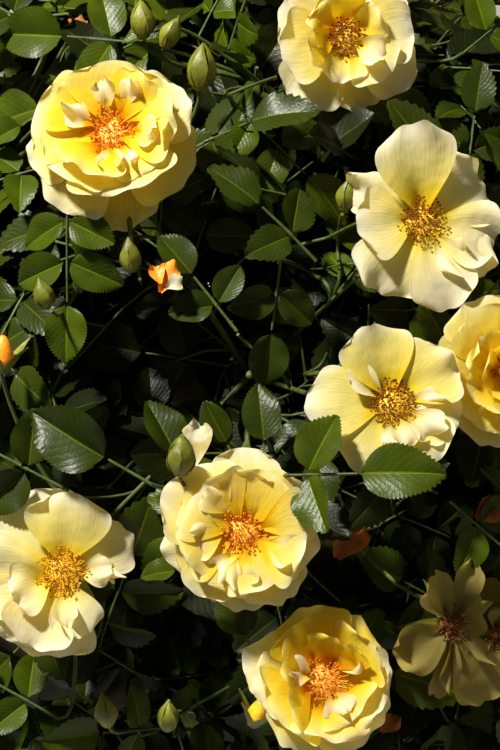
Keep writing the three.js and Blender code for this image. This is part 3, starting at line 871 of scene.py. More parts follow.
# Blooms whose petals are shaped one by one, by their number among the blooms that are seen. A turn runs
# anticlockwise from the top of the bloom, in degrees.
SHAPED_PETALS = petal_table("turn", {
    0: [
        (189, 0.14, 1.06, 0.5, 6, -26, 0.08, 0.04, (2.4, 1.45)),
        (248, 0.14, 0.94, 0.54, 10, -20, 0.08, 0.04, (2.4, 1.15)),
        (144, 0.14, 0.95, 0.54, 12, -18, 0.1, 0.05, (2.4, 0.75)),
        (105, 0.14, 0.95, 0.48, 14, -16, 0.1, 0.05, (2.4, 0.75)),
        (305, 0.14, 0.86, 0.5, 20, -8, 0.12, 0.05, (2.4, 0.75)),
        (38, 0.14, 0.72, 0.46, 16, -8, 0.12, 0.05, (2.4, 0.75)),
        (339, 0.14, 0.72, 0.46, 16, -8, 0.12, 0.05, (2.4, 0.75)),
        (202, 0.16, 0.74, 0.66, 32, 2, 0.16, 0.05, (2.7, 1.05)),
        (139, 0.16, 0.72, 0.56, 34, 4, 0.18, 0.06, (2.7, 1.05)),
        (83, 0.16, 0.84, 0.6, 32, 4, 0.2, 0.05, (2.7, 1.15)),
        (2, 0.16, 0.74, 0.6, 34, 8, 0.22, 0.05, (2.8, 1.45)),
        (285, 0.16, 0.7, 0.54, 38, 10, 0.22, 0.06, (2.8, 1.25)),
        (240, 0.18, 0.62, 0.44, 44, 16, 0.2, 0.06, (2.8, 1.15)),
        (60, 0.27, 0.6, 0.44, 44, 20, 0.26, 0.07, (3.0, 1.45)),
        (325, 0.27, 0.58, 0.42, 44, 24, 0.28, 0.07, (3.0, 1.45)),
        (165, 0.27, 0.56, 0.44, 52, 34, 0.24, 0.07, (3.0, 1.35)),
        (74, 0.31, 0.34, 0.18, 64, 6, 0.36, 0.14, (1.0, -0.4)),
        (16, 0.33, 0.38, 0.14, 66, 12, 0.36, 0.14, (1.0, -0.4)),
        (340, 0.37, 0.4, 0.13, 64, 40, 0.3, 0.12, (1.2, 0)),
        (192, 0.27, 0.3, 0.17, 66, -20, 0.4, 0.16, (0.8, -0.5)),
        (216, 0.33, 0.28, 0.14, 60, -10, 0.4, 0.16, (0.8, -0.5)),
        (268, 0.33, 0.36, 0.2, 62, 30, 0.3, 0.12, (2.2, 0.65)),
    ],
    1: [
        (140, 0.14, 1.06, 0.5, 8, -16, 0.08, 0.05, (1.8, 0.0)),
        (192, 0.14, 0.94, 0.42, 10, -16, 0.1, 0.06, (2.2, 0.5)),
        (236, 0.14, 0.98, 0.46, 12, -16, 0.1, 0.07, (1.8, 0.1)),
        (18, 0.14, 0.92, 0.6, 14, -12, 0.08, 0.05, (2.0, 0.4)),
        (330, 0.14, 0.92, 0.56, 16, -10, 0.08, 0.05, (2.0, 0.4)),
        (60, 0.14, 0.9, 0.56, 16, -12, 0.1, 0.06, (2.0, 0.4)),
        (97, 0.16, 0.84, 0.54, 24, -6, 0.14, 0.06, (2.3, 0.3)),
        (280, 0.16, 0.84, 0.54, 28, -4, 0.16, 0.07, (2.0, 0.0)),
        (222, 0.2, 0.64, 0.42, 34, 4, 0.24, 0.1, (2.0, 0.1)),
        (168, 0.22, 0.46, 0.34, 40, 2, 0.28, 0.12, (2.2, 0.4)),
        (82, 0.24, 0.48, 0.44, 56, 30, 0.22, 0.09, (3.0, 1.5)),
        (22, 0.24, 0.46, 0.42, 58, 32, 0.22, 0.09, (3.0, 1.5)),
        (308, 0.24, 0.42, 0.34, 52, 24, 0.26, 0.1, (2.6, 0.9)),
        (98, 0.3, 0.24, 0.13, 56, 0, 0.4, 0.14, (0.6, -0.4)),
        (238, 0.24, 0.4, 0.24, 56, -14, 0.5, 0.12, (1.0, -0.3)),
    ],
    2: [
        (228, 0.14, 0.98, 0.36, 16, -14, 0.1, 0.1, (1.3, -0.2)),
        (56, 0.14, 0.92, 0.3, 18, -18, 0.1, 0.12, (1.2, -0.3)),
        (141, 0.14, 1.0, 0.52, 22, -12, 0.1, 0.1, (1.6, -0.1)),
        (298, 0.14, 0.86, 0.52, 26, -6, 0.1, 0.12, (1.6, -0.3)),
        (191, 0.16, 1.06, 0.46, 18, -22, 0.12, 0.1, (1.3, -0.3)),
        (92, 0.16, 0.74, 0.46, 30, 4, 0.16, 0.1, (1.8, 0.2)),
        (246, 0.16, 0.86, 0.44, 28, -4, 0.14, 0.12, (1.5, -0.3)),
        (7, 0.18, 1.12, 0.5, 46, 10, 0.26, 0.1, (2.2, 0.3)),
        (209, 0.3, 0.5, 0.2, 34, -20, 0.4, 0.16, (0.6, -0.5)),
        (226, 0.44, 0.26, 0.1, 50, 10, 0.3, 0.16, (0.5, -0.5)),
    ],
    3: [
        (250, 0.14, 0.78, 0.44, 22, -14, 0.1, 0.08, (1.9, 0.5)),
        (145, 0.14, 0.84, 0.5, 20, -16, 0.1, 0.08, (1.9, 0.6)),
        (84, 0.14, 1.0, 0.5, 24, -18, 0.1, 0.1, (1.9, 0.5)),
        (211, 0.14, 0.84, 0.46, 26, -8, 0.14, 0.1, (1.9, 0.4)),
        (303, 0.16, 0.84, 0.5, 32, 0, 0.16, 0.1, (2.1, 0.6)),
        (14, 0.18, 0.86, 0.5, 44, 6, 0.22, 0.1, (2.3, 0.8)),
        (52, 0.24, 0.5, 0.2, 60, -20, 0.4, 0.14, (0.8, -0.4)),
        (4, 0.5, 0.3, 0.15, 66, -10, 0.4, 0.14, (0.8, -0.4)),
        (262, 0.26, 0.34, 0.2, 54, -10, 0.4, 0.16, (0.6, -0.5)),
        (226, 0.3, 0.42, 0.24, 48, -6, 0.4, 0.16, (0.6, -0.5)),
        (182, 0.28, 0.4, 0.26, 50, 0, 0.36, 0.16, (0.8, -0.4)),
    ],
    5: [
        (166, 0.14, 1.02, 0.54, 6, -24, 0.1, 0.08, (1.4, 0.2)),
        (21, 0.14, 0.95, 0.54, 18, -12, 0.1, 0.08, (1.5, 0.1)),
        (128, 0.14, 0.94, 0.54, 14, -18, 0.1, 0.08, (1.5, 0.1)),
        (302, 0.14, 0.8, 0.44, 18, -16, 0.1, 0.08, (1.5, 0.1)),
        (90, 0.14, 0.92, 0.56, 20, -10, 0.1, 0.08, (1.6, 0.1)),
        (150, 0.16, 0.84, 0.46, 28, -8, 0.14, 0.09, (1.6, 0)),
        (350, 0.16, 0.86, 0.5, 32, -2, 0.14, 0.07, (1.9, 0.3)),
        (192, 0.16, 0.66, 0.34, 30, -6, 0.18, 0.1, (1.5, -0.1)),
        (268, 0.22, 0.4, 0.2, 34, -6, 0.3, 0.14, (1.2, -0.2)),
        (108, 0.26, 0.46, 0.34, 56, -6, 0.36, 0.12, (1.4, -0.1)),
        (180, 0.26, 0.44, 0.15, 44, 0, 0.4, 0.14, (1.2, -0.2)),
        (262, 0.52, 0.16, 0.1, 20, -20, 0.3, 0.16, (0.6, -0.4)),
    ],
    6: [
        (179, 0.14, 0.9, 0.46, 8, -20, 0.08, 0.05, (2.2, 0.8)),
        (209, 0.14, 0.9, 0.44, 10, -18, 0.08, 0.05, (2.2, 0.8)),
        (136, 0.14, 0.88, 0.46, 12, -16, 0.1, 0.05, (2.2, 0.8)),
        (103, 0.14, 0.95, 0.44, 12, -16, 0.1, 0.05, (2.2, 0.7)),
        (67, 0.14, 0.97, 0.5, 14, -14, 0.1, 0.06, (2.2, 0.7)),
        (38, 0.14, 0.9, 0.42, 16, -12, 0.1, 0.06, (2.2, 0.7)),
        (356, 0.14, 0.94, 0.44, 16, -14, 0.1, 0.06, (2.1, 0.5)),
        (300, 0.14, 0.84, 0.48, 16, -12, 0.1, 0.05, (2.2, 0.7)),
        (255, 0.14, 0.82, 0.46, 14, -14, 0.1, 0.05, (2.2, 0.8)),
        (97, 0.18, 0.66, 0.59, 34, 4, 0.14, 0.06, (2.5, 1.0)),
        (136, 0.18, 0.62, 0.56, 32, 4, 0.14, 0.07, (2.5, 1.0)),
        (50, 0.18, 0.66, 0.56, 40, -4, 0.17, 0.08, (2.4, 0.8)),
        (340, 0.18, 0.66, 0.51, 42, 12, 0.17, 0.07, (2.6, 1.1)),
        (311, 0.18, 0.62, 0.48, 40, 10, 0.17, 0.07, (2.5, 1.0)),
        (212, 0.18, 0.6, 0.56, 34, 6, 0.14, 0.07, (2.4, 0.8)),
        (262, 0.27, 0.58, 0.59, 44, 4, 0.2, 0.07, (2.3, 0.6)),
        (95, 0.33, 0.34, 0.32, 62, 0, 0.24, 0.12, (2.0, 0.2)),
        (40, 0.37, 0.36, 0.23, 58, 0, 0.25, 0.12, (1.8, 0.1)),
        (153, 0.33, 0.3, 0.21, 54, -10, 0.25, 0.14, (1.0, -0.4)),
        (176, 0.35, 0.34, 0.23, 48, 0, 0.25, 0.14, (1.4, -0.1)),
        (246, 0.37, 0.4, 0.23, 54, 0, 0.25, 0.12, (1.2, -0.2)),
    ],
    # Bloom 7's upper petals, turned 11, 331, 20 and 330, have deeper gold tones: painted shade for the
    # shadow that the bloom above casts on them
    7: [
        (144, 0.14, 0.88, 0.48, 10, -18, 0.08, 0.06, (2.6, 0.7)),
        (203, 0.14, 0.86, 0.44, 10, -18, 0.08, 0.06, (2.6, 0.7)),
        (65, 0.14, 1.0, 0.44, 14, -16, 0.1, 0.07, (2.3, 0.3)),
        (92, 0.14, 0.86, 0.46, 18, -12, 0.1, 0.07, (2.4, 0.5)),
        (11, 0.14, 0.9, 0.54, 22, -8, 0.12, 0.06, (3.0, 1.8)),
        (331, 0.14, 0.82, 0.48, 22, -8, 0.12, 0.06, (3.0, 1.7)),
        (282, 0.14, 0.82, 0.46, 14, -14, 0.1, 0.06, (2.4, 0.5)),
        (240, 0.14, 0.84, 0.44, 12, -16, 0.1, 0.06, (2.3, 0.4)),
        (120, 0.33, 0.56, 0.62, 48, 22, 0.14, 0.06, (3.1, 1.4)),
        (236, 0.39, 0.5, 0.5, 46, 22, 0.14, 0.07, (2.8, 0.7)),
        (20, 0.31, 0.62, 0.54, 52, 26, 0.18, 0.06, (3.3, 2.0)),
        (300, 0.35, 0.52, 0.5, 50, 26, 0.2, 0.07, (3.1, 1.5)),
        (176, 0.37, 0.52, 0.52, 44, 20, 0.16, 0.07, (2.8, 0.8)),
        (95, 0.27, 0.52, 0.6, 64, 44, 0.12, 0.06, (3.3, 1.6)),
        (214, 0.31, 0.42, 0.46, 58, 36, 0.18, 0.07, (3.0, 0.8)),
        (330, 0.27, 0.48, 0.44, 62, 42, 0.22, 0.07, (3.5, 2.0)),
        (70, 0.27, 0.36, 0.22, 62, 4, 0.36, 0.14, (1.0, -0.3)),
        (300, 0.29, 0.3, 0.2, 62, 4, 0.36, 0.14, (1.0, -0.3)),
        (200, 0.27, 0.28, 0.26, 56, 0, 0.36, 0.14, (1.2, -0.2)),
    ],
    8: [
        (350, 0.14, 0.56, 0.5, 30, 6, 0.2, 0.08, (1.4, 0.2)),
        (320, 0.14, 1.0, 0.28, 22, -20, 0.4, 0.06, (1.4, 0.2)),
        (156, 0.14, 1.14, 0.2, 8, -46, 0.4, 0.08, (1.4, 0.2)),
        (98, 0.14, 0.94, 0.42, 14, -34, 0.24, 0.1, (1.4, 0.2)),
        (268, 0.14, 0.7, 0.34, 14, -44, 0.4, 0.1, (1.4, 0.2)),
        (185, 0.14, 1.42, 0.46, 12, -34, 0.2, 0.07, (1.4, 0.2)),
        (14, 0.22, 0.92, 0.28, 40, 8, 0.5, 0.06, (1.4, 0.2)),
        (156, 0.26, 0.78, 0.19, 26, -34, 0.5, 0.14, (1.4, 0.2)),
        (206, 0.24, 0.6, 0.15, 34, -30, 0.5, 0.14, (1.4, 0.2)),
    ],
})
# How far the hearts of seen blooms stand from their places, across, up and towards the eye, in mm
HEARTS = {
    0: (-1, 9, 0),
    1: (0, -5, 0),
    3: (4, -2, 0),
    5: (2, -1, 0),
    6: (0, 1, 0),
    7: (1, 2, 17),
    8: (10, -12, 0),
}
TONES = 4
PETAL_STEP = 0.012
RING_STEP = 0.03
PETAL_STEPS = 24
FACING_STAMENS = 1.9
STAMENS = {"fresh": 70, "medium": 60, "golden": 80, "pale": 70, "aged": 90, "spent": 50}
ORANGE_FILAMENT, GOLD_FILAMENT, ORANGE_ANTHER, GOLD_ANTHER, BROWN_ANTHER = range(5)
STAMEN_FINISH = {
    "fresh": (ORANGE_FILAMENT, ORANGE_ANTHER),
    "medium": (ORANGE_FILAMENT, ORANGE_ANTHER),
    "golden": (GOLD_FILAMENT, GOLD_ANTHER),
    "pale": (GOLD_FILAMENT, BROWN_ANTHER),
    "aged": (GOLD_FILAMENT, BROWN_ANTHER),
    "spent": (BROWN_ANTHER, BROWN_ANTHER),
}
FACING_PETAL = (16, 12)
SPREAD_PETAL = (7, 6)
SEPALS = 5


def grid_blank(columns, bands, place):
    """A sheet that is laid point by point, from the shares along it, 0 to 1, and across it, -1 to 1."""
    bm = bmesh.new()
    bmesh.ops.create_grid(bm, x_segments=columns, y_segments=bands, size=0.5)
    uv = []
    for v in bm.verts:
        along, across = v.co.x + 0.5, v.co.y * 2
        v.co = place(along, across)
        uv.append((along, across * 0.5 + 0.5))
    return blank_of(bm, uv)


def petal_blank(ring, columns, bands, chance):
    """A petal that springs from the middle of its bloom along +X, for a bloom of unit radius."""
    uneven = 0.03 if "turn" in ring else 0.05 + ring["ruffle"]
    length = ring["length"] * chance.between(1 - uneven, 1 + uneven)
    width = ring["width"] * chance.between(1 - 1.6 * uneven, 1 + 1.6 * uneven)
    rise = math.radians(ring["rise"] + chance.between(-7, 7))
    lay = math.radians(ring["lay"] + chance.between(-14, 14))
    lean = chance.between(-0.14, 0.14)
    ruffle = ring["ruffle"] * chance.between(0.6, 1.5)
    waves = chance.between(1.8, 3.6)
    phase = chance.between(0, 6.3)
    notch = chance.between(0.0, 0.08)
    roll = chance.between(-0.1, 0.5)
    path = [(ring["foot"], 0.0)]
    for step in range(PETAL_STEPS):
        slope_now = rise + (lay - rise) * ((step + 0.5) / PETAL_STEPS) ** 0.8
        x, z = path[-1]
        x += math.cos(slope_now) / PETAL_STEPS * length
        z += math.sin(slope_now) / PETAL_STEPS * length
        path.append((x, z))

    def place(along, across):
        swell = min(1.0, along / 0.66)
        half = width * (0.16 + 0.84 * math.sin(swell * math.pi / 2) ** 1.2)
        half *= 1 - 0.4 * max(0.0, (along - 0.66) / 0.34) ** 2.4
        reach = along - 0.17 * across**2 * along**4 - notch * math.exp(-((across / 0.3) ** 2)) * along**6
        at = max(0.0, min(PETAL_STEPS - 1e-6, reach * PETAL_STEPS))
        low = int(at)
        share = at - low
        x = path[low][0] * (1 - share) + path[low + 1][0] * share
        z = path[low][1] * (1 - share) + path[low + 1][1] * share
        slope_here = rise + (lay - rise) * max(0.02, reach) ** 0.8
        inward = ring["cup"] * width * across**2 * (1.1 - 0.5 * along)
        rim = along**3
        inward += ruffle * rim * math.sin(across * waves + phase)
        inward += ruffle * 0.5 * rim * math.sin(across * waves * 2.3 + phase * 1.7)
        inward -= roll * 0.1 * along**6 * across**2
        inward -= 0.03 * width * math.cos(across * 6) * (1 - along)
        x -= math.sin(slope_here) * inward
        z += math.cos(slope_here) * inward
        return x, half * across + lean * along**2 * length * 0.5, z

    return grid_blank(columns, bands, place)


def tone_bands(blank, kind, tone, chance):
    """Deals a band of tone to each face of a petal, and finds the tone of each of its points."""
    points, corners, sizes, _, uv = blank
    heart, rim = tone
    fall = (1 - uv[:, 0]) ** 1.3
    foot = np.clip(1 - uv[:, 0] / 0.3, 0, 1) * 1.2
    beside = np.abs(uv[:, 1] * 2 - 1) * np.clip(uv[:, 0] * 1.6, 0, 1)
    margin = np.clip((np.maximum(uv[:, 0], beside) - 0.72) / 0.28, 0, 1) ** 1.5
    tones = rim + (heart - rim) * fall + foot - margin * 0.9 + chance.between(-0.12, 0.2)
    tones = np.clip(tones, 0, TONES - 0.01)
    quads = corners.reshape(-1, 4)
    bands = np.minimum(tones[quads].mean(axis=1).astype(int), TONES - 1)
    # Spent blooms take the spent petal's finish: their faded colour, darkened further as painted shade
    if kind == "spent":
        bands[:] = TONES
    return (points, corners, sizes, bands, uv), tones


def anther_blank():
    bm = bmesh.new()
    bmesh.ops.create_cube(bm, size=1)
    bmesh.ops.scale(bm, verts=[v for v in bm.verts if v.co.z > 0], vec=(0.6, 0.6, 1))
    return blank_of(bm)


def cushion_blank():
    """The low dome of unit radius that the stamens stand on."""
    bm = bmesh.new()
    bmesh.ops.create_uvsphere(bm, u_segments=8, v_segments=5, radius=1)
    bmesh.ops.scale(bm, verts=bm.verts, vec=(1, 1, 0.3))
    return blank_of(bm)


def sepal_blank(swell, fall):
    """A sepal of unit length along +X, broad at its foot and drawn out to a point."""

    def place(along, across):
        half = 0.2 * (1 - along) ** 0.9 * (0.6 + 2.2 * along * (1 - along)) + 0.012
        return along, half * across, 0.06 * across**2 - swell * along - fall * along**2

    return grid_blank(6, 2, place)


def bud_blank():
    """A pointed bud of unit length along +Z, on a round hip."""
    bm = bmesh.new()
    bmesh.ops.create_uvsphere(bm, u_segments=12, v_segments=10, radius=0.5)
    for v in bm.verts:
        height = v.co.z + 0.5
        pinch = 1 - 0.4 * max(0, height - 0.4) - 0.22 * math.exp(-(((height - 0.2) / 0.06) ** 2))
        v.co.x *= 0.7 * pinch
        v.co.y *= 0.7 * pinch
        v.co.z = height * (1 + 0.15 * height**3)
    for f in bm.faces:
        f.material_index = 0 if f.calc_center_median().z < 0.24 else 1
    return blank_of(bm)


class BloomKit:
    """The parts that blooms and buds are put together from."""

    def __init__(self):
        self.filament = blank_of(cone_bmesh(3, 1, 0.6))
        self.anther = anther_blank()
        self.cushion = cushion_blank()
        self.sepal = sepal_blank(0.0, 0.16)
        self.clasping_sepal = sepal_blank(0.66, -0.88)
        self.bud = bud_blank()

    def bloom_frame(self, site):
        across = square_to(site.facing, UP)
        sideways, upwards, nearer = HEARTS.get(site.number, (0, 0, 0))
        centre = site.centre + (VIEW_RIGHT * sideways + VIEW_UP * upwards + VIEW_DIRECTION * nearer) * MM
        return place_of(centre, across, site.facing, site.radius) @ Matrix.Translation((0, 0, -0.2))

    def petals(self, stock, site):
        """The petals of a bloom, each at its own turn or spread round its ring."""
        chance = Chance(site.number + PETAL_SEED)
        base = self.bloom_frame(site)
        grid = FACING_PETAL if site.seen else SPREAD_PETAL
        shaped = site.number in SHAPED_PETALS
        offset = 0 if shaped else chance.between(0, 6.3)
        for number, petal in enumerate(SHAPED_PETALS[site.number] if shaped else PETAL_RINGS[site.kind]):
            step = Matrix.Translation((0, 0, (PETAL_STEP if shaped else RING_STEP) * number))
            count = 1 if shaped else petal["count"]
            for i in range(count):
                blank = petal_blank(petal, *grid, chance)
                blank, tones = tone_bands(blank, site.kind, petal["tone"], chance)
                if shaped:
                    turn = math.radians(petal["turn"])
                else:
                    turn = offset + (i + chance.between(-0.12, 0.12)) / count * 2 * math.pi
                stock.add(blank, base @ step @ Matrix.Rotation(turn, 4, "Z"), 0, tones)
            if not shaped:
                offset += math.pi / count + chance.between(-0.2, 0.2)

    def stamens(self, stock, site):
        chance = Chance(site.number + STAMEN_SEED)
        base = self.bloom_frame(site)
        filament, anther = STAMEN_FINISH[site.kind]
        count = STAMENS[site.kind]
        if site.seen:
            count = int(count * FACING_STAMENS)
        if site.number in SHAPED_PETALS:
            lifted = Matrix.Translation((0, 0, 0.005 * len(SHAPED_PETALS[site.number])))
            base = base @ lifted @ Matrix.Scale(0.86, 4)
        stock.add(self.cushion, base @ Matrix.Scale(0.27, 4), filament)
        for i in range(count):
            spread = math.sqrt((i + 0.5) / count)
            turn = i * GOLDEN_ANGLE
            lean = spread * 0.9
            axis = Vector((math.sin(lean) * math.cos(turn), math.sin(lean) * math.sin(turn), math.cos(lean)))
            axis += chance.vector(-0.16, 0.16)
            axis.normalize()
            foot = Vector((math.cos(turn), math.sin(turn), 0)) * 0.2 * spread
            length = chance.between(0.12, 0.26)
            stand = place_of(foot, square_to(axis, Vector((0.3, 0.9, 0.2))), axis)
            stock.add(self.filament, base @ stand @ Matrix.Diagonal((0.007, 0.007, length, 1)), filament)
            top = stand @ Matrix.Translation((0, 0, length))
            stock.add(self.anther, base @ top @ Matrix.Diagonal((0.036, 0.022, 0.022, 1)), anther)

    def calyx(self, stock, site):
        """The hip and the sepals behind a bloom."""
        base = self.bloom_frame(site)
        stock.add(self.bud, base @ Matrix.Translation((0, 0, -0.26)) @ Matrix.Scale(0.34, 4))
        tip = Matrix.Rotation(math.radians(16), 4, "Y")
        for i in range(SEPALS):
            turn = Matrix.Rotation(i * 2 * math.pi / SEPALS, 4, "Z")
            place = base @ turn @ Matrix.Translation((0.06, 0, -0.05))
            stock.add(self.sepal, place @ tip @ Matrix.Scale(0.74, 4))

    def bud_on(self, stock, foot, axis, length, finish, seed):
        """A bud, whose petals show in its finish, or a closed one that is green all over."""
        chance = Chance(seed)
        base = place_of(foot, square_to(axis, VIEW_RIGHT + UP * 0.3), axis, length)
        points, corners, sizes, tints, surface = self.bud
        stock.add((points, corners, sizes, tints * finish, surface), base)
        turned = chance.between(0, 6.3)
        sepal, lean, spread = (self.clasping_sepal, 90, 1.6)
        if finish != SEPAL_GREEN:
            sepal, lean, spread = (self.sepal, 58, 1.2)
        for i in range(SEPALS):
            spin = Matrix.Rotation(turned + i * 2 * math.pi / SEPALS, 4, "Z")
            tilt = Matrix.Rotation(-math.radians(lean + chance.between(-3, 2)), 4, "Y")
            place = base @ spin @ Matrix.Translation((0.25, 0, 0.18)) @ tilt
            stock.add(sepal, place @ Matrix.Diagonal((chance.between(0.95, 1.15), spread, 1, 1)))


def add_facing_buds(kit, stock):
    """The buds that the eye sees, and the dried petals that lie among the leaves."""
    for number, (entry, foot, _, _) in enumerate(grow_facing_twigs()):
        if "finish" in entry:
            axis = view_heading(entry["heading"], 0.3)
            kit.bud_on(stock, foot, axis, entry["length"] * MM, entry["finish"], number + FACING_BUD_SEED)
    shape = dict(foot=0, length=1.0, width=0.45, rise=10, lay=-30, cup=0.34, ruffle=0.16)
    for number, entry in enumerate(DRIED_PETALS):
        blank = petal_blank(shape, *SPREAD_PETAL, Chance(number + DRIED_PETAL_SEED))
        axis = view_heading(entry["heading"])
        place = place_of(facing_place(entry), axis, VIEW_DIRECTION + UP * 0.4, entry["size"] * MM)
        stock.add(blank, place, entry.get("finish", PETAL_DRIED))


def add_buds(kit, stock):
    """One to three buds beside some of the blooms, on the shoots that carry them."""
    for site in SITES:
        chance = Chance(site.number + BUD_SEED)
        if site.seen or chance.next() < 0.35:
            continue
        for k in range(1 + int(chance.next() * 2)):
            t = 0.97 - 0.07 * k
            at = site.curve(t)
            out = square_to(site.facing, chance.vector(-1, 1))
            axis = (site.facing + out * 0.7).normalized()
            length = chance.between(15, 20) * MM
            foot = at + out * (site.radius * 0.5 if site.blooms else 4 * MM) + axis * length * 0.6
            if shades_bloom(foot, 0.8) or in_view(foot):
                continue
            finish = BUD_APRICOT if chance.next() < 0.3 else SEPAL_GREEN
            kit.bud_on(stock, foot, axis, length, finish, site.number + k)


# Height and radius of the stem's rings, in mm
STEM_RINGS = [
    (0.0, 27.0),
    (5.0, 22.5),
    (12.0, 19.0),
    (26.0, 17.0),
    (38.0, 19.5),
    (46.0, 21.0),
    (54.0, 18.0),
    (60.0, 12.6),
    (64.0, 4.0),
]
STEM_SIDES = 48
STEM_STEPS = 5
STUB_SIDES = 16
STUB_STEPS = 10
CANE_SIDES = 12
CANE_STEPS = 44
MASS_STEM_STEPS = 14
PRICKLES_PER_CANE = 26

# Finishes: veins and streaks across a leaf and a petal, and the share of light that each lets through
SIDE_VEINS = 9.0
PETAL_STREAKS = 34.0
LEAF_THINNESS = 0.12
PETAL_THINNESS = 0.46
# What an apricot blush leaves of a petal's red, green and blue
BLUSH = (0.9, 0.7, 0.4)

# The studio
FLOOR_HALF_WIDTH = 6
KEY_PLACE = EYE + VIEW_UP * 1.0 - VIEW_RIGHT * 0.62
KEY_WIDTH = 0.14
KEY_COLOUR = (1.0, 0.96, 0.86)
FILL_PLACE = EYE + VIEW_RIGHT * 0.9 + VIEW_UP * 0.1
FILL_WIDTH = 1.6
FILL_COLOUR = (1.0, 0.92, 0.6)
SKY_COLOUR = (1.0, 0.95, 0.82)
SKY_STRENGTH = 0.08


def limb(bm, centres, radii, sides):
    """A limb drawn out ring by ring from a circle, through the centres, and closed at both ends."""
    first = (centres[1] - centres[0]).normalized()
    across = square_to(first, VIEW_RIGHT if abs(first.x) < 0.9 else UP)
    ring = bmesh.ops.create_circle(bm, cap_ends=True, segments=sides, radius=1)["verts"]
    edges = list(dict.fromkeys(e for v in ring for e in v.link_edges if len(e.link_faces) < 2))
    made = list(ring)
    for i, centre in enumerate(centres):
        if i:
            grown = bmesh.ops.extrude_edge_only(bm, edges=edges)["geom"]
            ring = [g for g in grown if isinstance(g, bmesh.types.BMVert)]
            edges = [g for g in grown if isinstance(g, bmesh.types.BMEdge)]
            made += ring
        ahead = centres[min(i + 1, len(centres) - 1)] - centres[max(i - 1, 0)]
        axis = ahead.normalized()
        across = square_to(axis, across)
        beside = axis.cross(across)
        for side, v in enumerate(ring):
            angle = side / sides * 2 * math.pi
            v.co = centre + (across * math.cos(angle) + beside * math.sin(angle)) * radii[i]
    bmesh.ops.holes_fill(bm, edges=edges, sides=0)
    return made


def roughen(verts, centre_of, depth, scale, stretch):
    """Presses the bark's furrows into a limb, along the line from its middle."""
    for v in verts:
        out = v.co - centre_of(v.co)
        if out.length < 1e-5:
            continue
        spot = Vector((v.co.x, v.co.y, v.co.z / stretch)) * scale
        v.co += out.normalized() * depth * (noise.noise(spot) + 0.5 * noise.noise(spot * 2.7))


def finish_bmesh(bm, name, materials):
    bmesh.ops.recalc_face_normals(bm, faces=bm.faces)
    list_faces(bm)
    mesh = bpy.data.meshes.new(name)
    bm.to_mesh(mesh)
    bm.free()
    for polygon in mesh.polygons:
        polygon.use_smooth = True
    for material in materials:
        mesh.materials.append(material)
    return link(name, mesh)


def keep(piece, slot, *nodes):
    """Rides the piece on the bush and hides the model's nodes that it stands for. The slot is not used."""
    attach(piece, "root")
    if nodes:
        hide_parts(*nodes)
    return piece


def linear(colour):
    """A colour property as a node's colour with alpha."""
    return (colour[0], colour[1], colour[2], 1)


def srgb(code):
    """An 0xRRGGBB colour as linear values."""
    parts = [(code >> shift & 255) / 255 for shift in (16, 8, 0)]
    return tuple(c / 12.92 if c <= 0.04045 else ((c + 0.055) / 1.055) ** 2.4 for c in parts)


